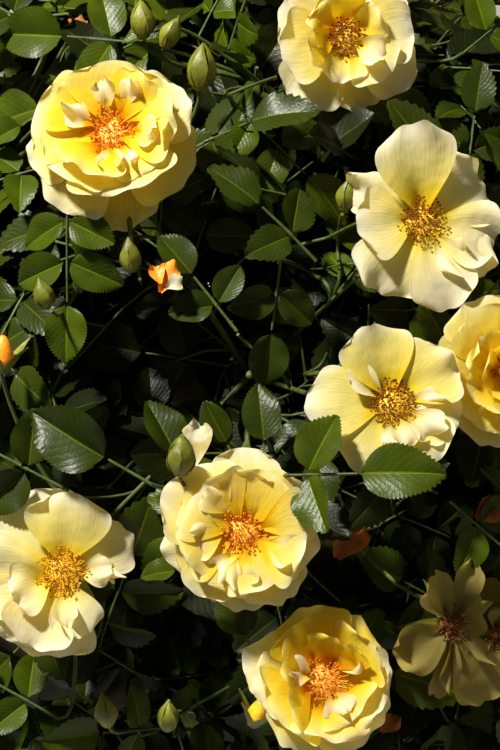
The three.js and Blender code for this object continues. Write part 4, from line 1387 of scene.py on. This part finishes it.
class Finish:
    """A material under construction, with the few nodes that the finishes share."""

    def __init__(self, name, roughness, **sockets):
        self.material = bpy.data.materials.new(name)
        self.material.use_nodes = True
        self.nodes = self.material.node_tree.nodes
        self.links = self.material.node_tree.links
        self.shader = self.nodes["Principled BSDF"]
        self.shader.inputs["Roughness"].default_value = roughness
        for socket, value in sockets.items():
            self.shader.inputs[socket.replace("_", " ")].default_value = value
        self.place = self.nodes.new("ShaderNodeTexCoord").outputs["Object"]

    def noise(self, scale, detail, stretch=None, source=None):
        texture = self.nodes.new("ShaderNodeTexNoise")
        texture.inputs["Scale"].default_value = scale
        texture.inputs["Detail"].default_value = detail
        source = source or self.place
        if stretch:
            mapping = self.nodes.new("ShaderNodeMapping")
            mapping.inputs["Scale"].default_value = stretch
            self.links.new(source, mapping.inputs["Vector"])
            source = mapping.outputs["Vector"]
        self.links.new(source, texture.inputs["Vector"])
        return texture.outputs["Fac"]

    def ramp(self, factor, *stops):
        """Colours at their places along a factor."""
        node = self.nodes.new("ShaderNodeValToRGB")
        elements = node.color_ramp.elements
        while len(elements) < len(stops):
            elements.new(1)
        for element, (position, colour) in zip(elements, stops):
            element.position = position
            element.color = linear(colour)
        self.links.new(factor, node.inputs["Fac"])
        return node.outputs["Color"]

    def mix(self, factor, first, second, blend="MIX"):
        node = self.nodes.new("ShaderNodeMix")
        node.data_type = "RGBA"
        node.blend_type = blend
        sockets = [s for s in node.inputs if s.enabled]
        for socket, value in zip(sockets, (factor, first, second)):
            if isinstance(value, bpy.types.NodeSocket):
                self.links.new(value, socket)
            elif isinstance(value, (int, float)):
                socket.default_value = value
            else:
                socket.default_value = linear(value)
        return next(s for s in node.outputs if s.enabled)

    def maths(self, operation, first, second=0.0):
        node = self.nodes.new("ShaderNodeMath")
        node.operation = operation
        for socket, value in zip(node.inputs, (first, second)):
            if isinstance(value, bpy.types.NodeSocket):
                self.links.new(value, socket)
            else:
                socket.default_value = value
        return node.outputs[0]

    def times(self, first, second):
        return self.maths("MULTIPLY", first, second)

    def map_axes(self):
        """Along and across the surface map."""
        uv = self.nodes.new("ShaderNodeUVMap")
        uv.uv_map = "surface"
        parts = self.nodes.new("ShaderNodeSeparateXYZ")
        self.links.new(uv.outputs["UV"], parts.inputs[0])
        return parts.outputs["X"], parts.outputs["Y"]

    def colour(self, source):
        self.links.new(source, self.shader.inputs["Base Color"])
        return self

    def bump(self, height, distance, strength):
        node = self.nodes.new("ShaderNodeBump")
        node.inputs["Strength"].default_value = strength
        node.inputs["Distance"].default_value = distance
        self.links.new(height, node.inputs["Height"])
        self.links.new(node.outputs["Normal"], self.shader.inputs["Normal"])
        if self.shader.inputs["Coat Weight"].default_value:
            self.links.new(node.outputs["Normal"], self.shader.inputs["Coat Normal"])
        return self

    def let_light_through(self, share, source):
        """Mixes in the light that a thin petal or leaf lets through."""
        thin = self.nodes.new("ShaderNodeBsdfTranslucent")
        self.links.new(source, thin.inputs["Color"])
        both = self.nodes.new("ShaderNodeMixShader")
        both.inputs["Fac"].default_value = share
        self.links.new(self.shader.outputs[0], both.inputs[1])
        self.links.new(thin.outputs[0], both.inputs[2])
        self.links.new(both.outputs[0], self.nodes["Material Output"].inputs["Surface"])
        return self


def shade(colour, factor):
    return tuple(c * factor for c in colour[:3])


def leaf_finish(name, colour):
    """A leaf's green, mottled, with side veins and a midrib that follow its map."""
    finish = Finish(name, 0.6, Specular_IOR_Level=0.05, Coat_Weight=0.28, Coat_Roughness=0.32)
    along, across = finish.map_axes()
    base = finish.ramp(finish.noise(70, 3), (0.3, shade(colour, 0.72)), (0.7, shade(colour, 1.22)))
    slant = finish.maths("SUBTRACT", finish.times(along, SIDE_VEINS), finish.times(across, 3.4))
    wave = finish.maths("ABSOLUTE", finish.maths("SINE", finish.times(slant, math.pi)))
    veins = finish.maths("MAXIMUM", finish.maths("SUBTRACT", 1.0, finish.times(wave, 3.2)), 0.0)
    midrib = finish.maths("LESS_THAN", across, 0.045)
    lines = finish.maths("MAXIMUM", finish.times(veins, 0.2), finish.times(midrib, 0.8))
    base = finish.mix(lines, base, (colour[0] * 2 + 0.03, colour[1] * 2 + 0.03, colour[2] * 1.5))
    finish.colour(base)
    height = finish.maths("ADD", finish.times(wave, 0.45), finish.times(finish.noise(800, 2), 1.3))
    finish.bump(height, 0.00018, 0.6)
    return finish.let_light_through(LEAF_THINNESS, base).material


def petal_finish(name, near, far, band):
    """A band of a petal, whose colour runs on into the next band's."""
    finish = Finish(name, 0.6, Specular_IOR_Level=0.15)
    glow = finish.nodes.new("ShaderNodeAttribute")
    glow.attribute_name = "glow"
    share = finish.maths("SUBTRACT", glow.outputs["Fac"], float(band))
    share = finish.maths("MINIMUM", finish.maths("MAXIMUM", share, 0.0), 1.0)
    base = finish.mix(share, near, far)
    along, across = finish.map_axes()
    drawn = finish.nodes.new("ShaderNodeCombineXYZ")
    finish.links.new(finish.times(along, 2.0), drawn.inputs["X"])
    finish.links.new(finish.times(across, PETAL_STREAKS), drawn.inputs["Y"])
    streaks = finish.noise(1.0, 2, source=drawn.outputs[0])
    soft = finish.ramp(streaks, (0.3, (0.93, 0.92, 0.86)), (0.7, (1.0, 1.0, 1.0)))
    base = finish.mix(1.0, base, soft, "MULTIPLY")
    blotch = finish.ramp(finish.noise(45, 2), (0.35, (0.95, 0.93, 0.86)), (0.65, (1.0, 1.0, 1.0)))
    base = finish.mix(1.0, base, blotch, "MULTIPLY")
    finish.colour(base)
    finish.bump(finish.maths("ADD", finish.times(streaks, 0.16), finish.noise(64, 2)), 0.0034, 0.5)
    deeper = finish.mix(1.0, base, (1.0, 0.94, 0.42), "MULTIPLY")
    return finish.let_light_through(PETAL_THINNESS, deeper).material


def spotted_finish(name, colour, deep, scale, roughness=0.6, bump=0.0004, **sockets):
    """A plain colour that a noise deepens in places, with a fine relief."""
    finish = Finish(name, roughness, **sockets)
    spots = finish.noise(scale, 4)
    finish.colour(finish.ramp(spots, (0.35, deep), (0.65, colour)))
    return finish.bump(finish.noise(scale * 4, 3), bump, 0.6).material


def bark_finish(name, colour, deep, crest, scale):
    """A bark or rind. Deep and crest are the shares of its colour in the furrows and on the ridges."""
    finish = Finish(name, 0.82)
    furrows = finish.noise(scale, 6, stretch=(1, 1, 0.22))
    flecks = finish.noise(scale * 3.5, 3)
    dark = shade(colour, deep)
    base = finish.ramp(furrows, (0.32, dark), (0.5, colour), (0.72, shade(colour, crest)))
    finish.colour(finish.mix(finish.times(flecks, 0.35), base, dark))
    return finish.bump(furrows, 0.0016, 0.8).material


def leaf_finishes(settings, twig):
    """The tints that leaves are dealt, and the green of their ribs after them."""
    tints = {
        # The deep tint is painted shade, for the leaves inside the bush
        "leaf_painted_shade": settings.deep,
        "leaf_middle": settings.middle,
        "leaf_bright": settings.bright,
        "leaf_olive": tuple((a + b) / 2 for a, b in zip(settings.deep, settings.bright)),
    }
    finishes = [leaf_finish(name, colour) for name, colour in tints.items()]
    return finishes + [spotted_finish("leaf_rib", twig, shade(twig, 0.6), 200)]


def stamen_finishes():
    return [
        spotted_finish("filament_orange", srgb(0xFDCB4A), srgb(0xF8A826), 300),
        spotted_finish("filament_gold", srgb(0xFAD83C), srgb(0xF0B81C), 300),
        spotted_finish("anther_orange", srgb(0xF09028), srgb(0xD4600E), 500),
        spotted_finish("anther_gold", srgb(0xE8A41C), srgb(0xB06C0E), 500),
        spotted_finish("anther_brown", srgb(0x8A4A14), srgb(0x5A2A0C), 500),
    ]


def green_finishes(settings):
    """The finishes of buds, sepals and fallen petals, as numbered above."""
    blushed = tuple(c * share for c, share in zip(settings.bud, BLUSH))
    return [
        spotted_finish("sepal_green", settings.sepal, shade(settings.sepal, 0.5), 140, 0.5),
        spotted_finish("bud_apricot", settings.bud, blushed, 120, 0.5),
        spotted_finish("petal_dried", settings.dried, shade(settings.dried, 0.4), 160, 0.7),
        spotted_finish("petal_shed", shade(settings.rim, 0.6), shade(settings.faded_and_shaded, 0.7), 90, 0.8),
        spotted_finish("bud_lemon", settings.throat, settings.heart, 120, 0.5),
    ]


def looking(place, target):
    """Where a camera or lamp stands at a place and looks at a target."""
    turned = (target - place).to_track_quat("-Z", "Y").to_matrix().to_4x4()
    turned.translation = place
    return turned


def add_area_light(name, place, width, energy, colour):
    lamp = bpy.data.lights.new(name, "AREA")
    lamp.shape = "DISK"
    lamp.size = width
    lamp.energy = energy
    lamp.color = colour
    link(name, lamp).matrix_world = looking(place, CROWN_MIDDLE)


def length_property(name, length, description):
    """A length that is given in mm."""
    return bpy.props.FloatProperty(name=name, description=description, default=length * MM, unit="LENGTH")


def power_property(name, power, description):
    return bpy.props.FloatProperty(name=name, description=description, default=power, unit="POWER")


def colour_property(name, code, description):
    return bpy.props.FloatVectorProperty(
        name=name, description=description, subtype="COLOR", size=3, min=0, max=1, default=srgb(code)
    )


class RoseLimbSettings(bpy.types.PropertyGroup):
    """Sizes and colours of the stem, canes and twigs."""

    bark_depth: length_property("Bark depth", 1.1, "Depth of the bark's furrows")
    prickle_length: length_property("Prickle length", 5.5, "Length of a prickle on a cane")
    twig_radius: length_property("Twig radius", 1.0, "Radius of a fine twig at its foot")
    bark: colour_property("Bark", 0x6B5B3E, "Old bark on the stem")
    cane: colour_property("Cane", 0x566B2C, "Green rind of the canes")
    twig: colour_property("Twig", 0x4A5A1C, "Young shoots and leaf ribs")


class RoseLeafSettings(bpy.types.PropertyGroup):
    """Sizes and colours of the leaves."""

    leaflet_length: length_property("Leaflet length", 35, "Length of a leaf's end leaflet")
    # The deep green is painted shade: it is dealt to the leaves deep inside the crown
    deep: colour_property("Deep green", 0x151C04, "Leaves in the shade of the bush")
    middle: colour_property("Leaf green", 0x283204, "Most leaves")
    bright: colour_property("Bright green", 0x3A4805, "Leaves near the light")


class RoseBloomSettings(bpy.types.PropertyGroup):
    """Colours of the blooms and buds."""

    rim: colour_property("Petal rim", 0xFCF6DE, "Cream at a petal's rim")
    blade: colour_property("Petal blade", 0xFAEE94, "Lemon yellow of a petal's blade")
    throat: colour_property("Petal throat", 0xF8E03A, "Yellow further in")
    depth: colour_property("Petal depth", 0xF6CA0E, "Gold near the heart")
    heart: colour_property("Petal heart", 0xF09C04, "Orange of the heart")
    # The spent petal's colour is partly its faded ochre cream and partly painted shade: it is darker than a
    # faded petal, for the shade that the spent blooms lie in
    faded_and_shaded: colour_property("Spent petal", 0xB0A05C, "Dull ochre cream of a spent petal")
    dried: colour_property("Dried petal", 0xB4661C, "Orange brown of a dried petal")
    sepal: colour_property("Sepal", 0x767A1A, "Green of buds, hips and sepals")
    bud: colour_property("Bud", 0xF09A20, "Apricot of an opening bud")


class RoseStageSettings(bpy.types.PropertyGroup):
    """The camera and the studio round the bush."""

    lens: bpy.props.FloatProperty(
        name="Lens", description="Focal length for a sensor of 36 mm", default=78.3, min=20, max=300
    )
    key_energy: power_property("Key light", 49, "Power of the key light")
    fill_energy: power_property("Fill light", 1.4, "Power of the fill light")
    floor: colour_property("Floor", 0xD8D6D0, "Pale studio floor")


class ROSE_OT_trunk(bpy.types.Operator):
    """Replace the stem by one with bark"""

    bl_idname = "rose.trunk"
    bl_label = "Stem"

    def execute(self, context):
        settings = context.scene.rose_limbs
        bm = bmesh.new()
        centres, radii = [], []
        for (low, wide), (high, narrow) in zip(STEM_RINGS, STEM_RINGS[1:]):
            for step in range(STEM_STEPS):
                centres.append(UP * (low + (high - low) * step / STEM_STEPS) * MM)
                radii.append((wide + (narrow - wide) * step / STEM_STEPS) * MM)
        centres.append(UP * STEM_RINGS[-1][0] * MM)
        radii.append(STEM_RINGS[-1][1] * MM)
        verts = limb(bm, centres, radii, STEM_SIDES)
        foot = [v for v in verts if v.co.z < 0.1 * MM]
        raised = [v for v in verts if v.co.z > 0.1 * MM]
        roughen(raised, lambda point: Vector((0, 0, point.z)), settings.bark_depth * 1.6, 130, 4)
        for v in foot:
            v.co.z = 0
        for mass in MASSES:
            self.add_stub(bm, mass.stub_foot, mass.stub_direction, settings.bark_depth * 0.7)
        bark = bark_finish("stem_bark", settings.bark, 0.35, 1.6, 210)
        keep(finish_bmesh(bm, "bark_of_stem", [bark]), "bark", "stem")
        return {"FINISHED"}

    def add_stub(self, bm, foot, axis, depth):
        """The cut stub of a cane, which stands in the stem."""
        end = foot + axis * STUB_LENGTH
        centres = [foot.lerp(end, k / STUB_STEPS) for k in range(STUB_STEPS + 1)]
        radii = [CANE_FOOT_RADIUS * (1.4 - 0.4 * k / STUB_STEPS) for k in range(STUB_STEPS + 1)]
        between_ends = limb(bm, centres, radii, STUB_SIDES)[STUB_SIDES:-STUB_SIDES]
        roughen(between_ends, lambda point: foot + axis * (point - foot).dot(axis), depth, 260, 3)


class ROSE_OT_canes(bpy.types.Operator):
    """Replace the canes by ones with rind and prickles, carried on into the masses"""

    bl_idname = "rose.canes"
    bl_label = "Canes"

    def execute(self, context):
        settings = context.scene.rose_limbs
        bm = bmesh.new()
        prickles = Stock()
        thorn = thorn_blank()
        for number, mass in enumerate(MASSES):
            centres = [mass.cane(k / CANE_STEPS) for k in range(CANE_STEPS + 1)]
            stem_steps = range(1, MASS_STEM_STEPS + 1)
            centres += [mass.stem[0].lerp(mass.stem[1], k / MASS_STEM_STEPS) for k in stem_steps]
            count = len(centres)
            thinning = CANE_TIP_RADIUS * 0.6 - CANE_FOOT_RADIUS
            radii = [CANE_FOOT_RADIUS + thinning * (k / (count - 1)) ** 0.9 for k in range(count)]
            for i, v in enumerate(limb(bm, centres, radii, CANE_SIDES)):
                bumpy = noise.noise(Vector(v.co) * 180)
                v.co += (v.co - centres[i // CANE_SIDES]).normalized() * settings.bark_depth * 0.35 * bumpy
            chance = Chance(number + PRICKLE_SEED)
            for k in range(PRICKLES_PER_CANE):
                t = 0.08 + 0.9 * k / PRICKLES_PER_CANE
                at, along = mass.cane(t), slope(mass.cane, t)
                out = Matrix.Rotation(k * GOLDEN_ANGLE, 3, along) @ square_to(along, VIEW_RIGHT + UP * 0.2)
                length = settings.prickle_length * chance.between(0.6, 1.1)
                foot = at + out * CANE_FOOT_RADIUS * (1 - 0.35 * t) * 0.8
                prickles.add(thorn, place_of(foot, square_to(out, along), out, length))
        rind = bark_finish("cane_rind", settings.cane, 0.5, 1.4, 320)
        keep(finish_bmesh(bm, "rind_of_canes", [rind]), "cane", *[f"cane_{mass.name}" for mass in MASSES])
        horn = spotted_finish("prickle_horn", srgb(0x8A5A34), srgb(0x5A3420), 300)
        keep(prickles.piece("prickles", [horn]), "bark")
        return {"FINISHED"}


class ROSE_OT_twigs(bpy.types.Operator):
    """Grow the shoots and the finer twigs of every mass"""

    bl_idname = "rose.twigs"
    bl_label = "Shoots and twigs"

    def execute(self, context):
        settings = context.scene.rose_limbs
        lines = bpy.data.curves.new("twig_lines", "CURVE")
        lines.dimensions = "3D"
        lines.bevel_depth = 1
        lines.bevel_resolution = 0
        lines.use_fill_caps = True
        for site in SITES:
            add_line(lines, site.curve, 14, SHOOT_RADIUS * 1.15, SHOOT_RADIUS * 0.8)
        leaflet = context.scene.rose_leaves.leaflet_length
        radius = settings.twig_radius
        for twig in grow_twigs():
            leaves = spray_leaves(leaflet, twig.curve, LEAF_PLACES, twig.direction, twig.number)
            if leaves:
                add_line(lines, shortened(twig.curve, leaves[-1][0]), 8, radius, radius * 0.6)
        for _, _, _, curve in grow_facing_twigs():
            add_line(lines, curve, 10, radius * 1.3, radius)
        for stalk in FACING_STALKS:
            start, end = (seen_point(*(value * MM for value in place)) for place in stalk)
            middle = start.lerp(end, 0.5) + VIEW_DIRECTION * 4 * MM
            add_line(lines, bend(start, middle, middle, end), 8, radius, radius)
        drawn = bpy.data.objects.new("twig_lines", lines)
        mesh = bpy.data.meshes.new_from_object(drawn)
        bpy.data.objects.remove(drawn)
        bpy.data.curves.remove(lines)
        mesh.materials.clear()
        mesh.materials.append(spotted_finish("young_rind", settings.twig, shade(settings.twig, 0.55), 160))
        keep(link("shoots_and_twigs", mesh), "cane", *[f"foliage_{mass.name}" for mass in MASSES])
        return {"FINISHED"}


class ROSE_OT_leaves(bpy.types.Operator):
    """Grow the leaves of every mass on its shoots and twigs"""

    bl_idname = "rose.leaves"
    bl_label = "Leaves"

    def execute(self, context):
        settings = context.scene.rose_leaves
        kit = LeafKit(settings)
        stocks = {mass.name: Stock() for mass in MASSES}
        for twig in grow_twigs():
            stock = stocks[twig.mass.name]
            add_spray(kit, stock, twig.curve, LEAF_PLACES, twig.direction, twig.share, twig.number)
        for site in SITES:
            stock = stocks[site.mass.name]
            places = BLOOMING_LEAF_PLACES if site.blooms else LEAFY_LEAF_PLACES
            number = site.number + SHOOT_SEED
            add_spray(kit, stock, site.curve, places, site.direction, SHOOT_SHARE, number)
        for number, (entry, root, mass, _) in enumerate(grow_facing_twigs()):
            if "pairs" in entry:
                add_facing_leaf(kit, stocks[mass.name], entry, root, number + FACING_LEAF_SEED)
        greens = leaf_finishes(settings, context.scene.rose_limbs.twig)
        for mass in MASSES:
            keep(stocks[mass.name].piece(f"leaves_{mass.name}", greens), "foliage", f"foliage_{mass.name}")
        return {"FINISHED"}


class ROSE_OT_blossom(bpy.types.Operator):
    """Grow the petals, stamens and sepals of every bloom"""

    bl_idname = "rose.blossom"
    bl_label = "Blooms"

    def execute(self, context):
        settings = context.scene.rose_blooms
        kit = BloomKit()
        tones = [settings.rim, settings.blade, settings.throat, settings.depth, settings.heart]
        names = ["petal_rim", "petal_blade", "petal_throat", "petal_depth"]
        finishes = [petal_finish(name, tones[i], tones[i + 1], i) for i, name in enumerate(names)]
        # The spent petal's finish: its faded colour, darkened further as painted shade
        finishes.append(petal_finish("petal_spent_and_shaded", settings.faded_and_shaded, shade(settings.faded_and_shaded, 0.7), 0))
        stamens, calyxes = Stock(), Stock()
        for mass in MASSES:
            own = [site for site in BLOOMS if site.mass is mass]
            if not own:
                continue
            petals = Stock()
            for site in own:
                kit.petals(petals, site)
                kit.stamens(stamens, site)
                kit.calyx(calyxes, site)
            keep(petals.piece(f"petals_{mass.name}", finishes), "petal", f"foliage_{mass.name}")
        add_buds(kit, calyxes)
        add_facing_buds(kit, calyxes)
        keep(stamens.piece("stamens", stamen_finishes()), "stamen")
        keep(calyxes.piece("buds_and_sepals", green_finishes(settings)), "sepal")
        return {"FINISHED"}


class ROSE_OT_stage(bpy.types.Operator):
    """Set up the floor, the lights and the camera"""

    bl_idname = "rose.stage"
    bl_label = "Stage"

    def execute(self, context):
        settings = context.scene.rose_stage
        bm = bmesh.new()
        bmesh.ops.create_grid(bm, x_segments=1, y_segments=1, size=FLOOR_HALF_WIDTH)
        floor = spotted_finish("studio_floor", settings.floor, shade(settings.floor, 0.94), 3, 0.9, 0.0001)
        finish_bmesh(bm, "studio_floor", [floor])
        add_area_light("key_light", KEY_PLACE, KEY_WIDTH, settings.key_energy, KEY_COLOUR)
        add_area_light("fill_light", FILL_PLACE, FILL_WIDTH, settings.fill_energy, FILL_COLOUR)
        world = bpy.data.worlds.new("studio")
        world.use_nodes = True
        background = world.node_tree.nodes["Background"]
        background.inputs["Color"].default_value = linear(SKY_COLOUR)
        background.inputs["Strength"].default_value = SKY_STRENGTH
        context.scene.world = world
        camera = bpy.data.cameras.new("camera")
        camera.lens = settings.lens
        camera.clip_start = 0.01
        context.scene.camera = link("camera", camera)
        context.scene.camera.matrix_world = looking(EYE, VIEW_MIDDLE)
        context.scene.view_settings.view_transform = "Standard"
        context.scene.view_settings.look = "None"
        return {"FINISHED"}


class ROSE_PT_panel(bpy.types.Panel):
    """Settings and steps of the rose bush"""

    bl_idname = "ROSE_PT_panel"
    bl_label = "Rose bush"
    bl_space_type = "VIEW_3D"
    bl_region_type = "UI"
    bl_category = "Rose bush"

    def draw(self, context):
        for group, operators in STEPS:
            box = self.layout.box()
            settings = getattr(context.scene, group)
            for name in settings.bl_rna.properties.keys():
                if name not in {"rna_type", "name"}:
                    box.prop(settings, name)
            for operator in operators:
                box.operator(operator.bl_idname)


GROUPS = {
    "rose_limbs": RoseLimbSettings,
    "rose_leaves": RoseLeafSettings,
    "rose_blooms": RoseBloomSettings,
    "rose_stage": RoseStageSettings,
}
STEPS = [
    ("rose_stage", [ROSE_OT_stage]),
    ("rose_limbs", [ROSE_OT_trunk, ROSE_OT_canes, ROSE_OT_twigs]),
    ("rose_leaves", [ROSE_OT_leaves]),
    ("rose_blooms", [ROSE_OT_blossom]),
]


def register():
    for name, group in GROUPS.items():
        bpy.utils.register_class(group)
        setattr(bpy.types.Scene, name, bpy.props.PointerProperty(type=group))
    for _, operators in STEPS:
        for operator in operators:
            bpy.utils.register_class(operator)
    bpy.utils.register_class(ROSE_PT_panel)


def unregister():
    bpy.utils.unregister_class(ROSE_PT_panel)
    for _, operators in reversed(STEPS):
        for operator in reversed(operators):
            bpy.utils.unregister_class(operator)
    for name, group in GROUPS.items():
        delattr(bpy.types.Scene, name)
        bpy.utils.unregister_class(group)


def main():
    register()
    for _, operators in STEPS:
        for operator in operators:
            getattr(bpy.ops.rose, operator.bl_idname.split(".")[1])()


if __name__ == "__main__":
    main()
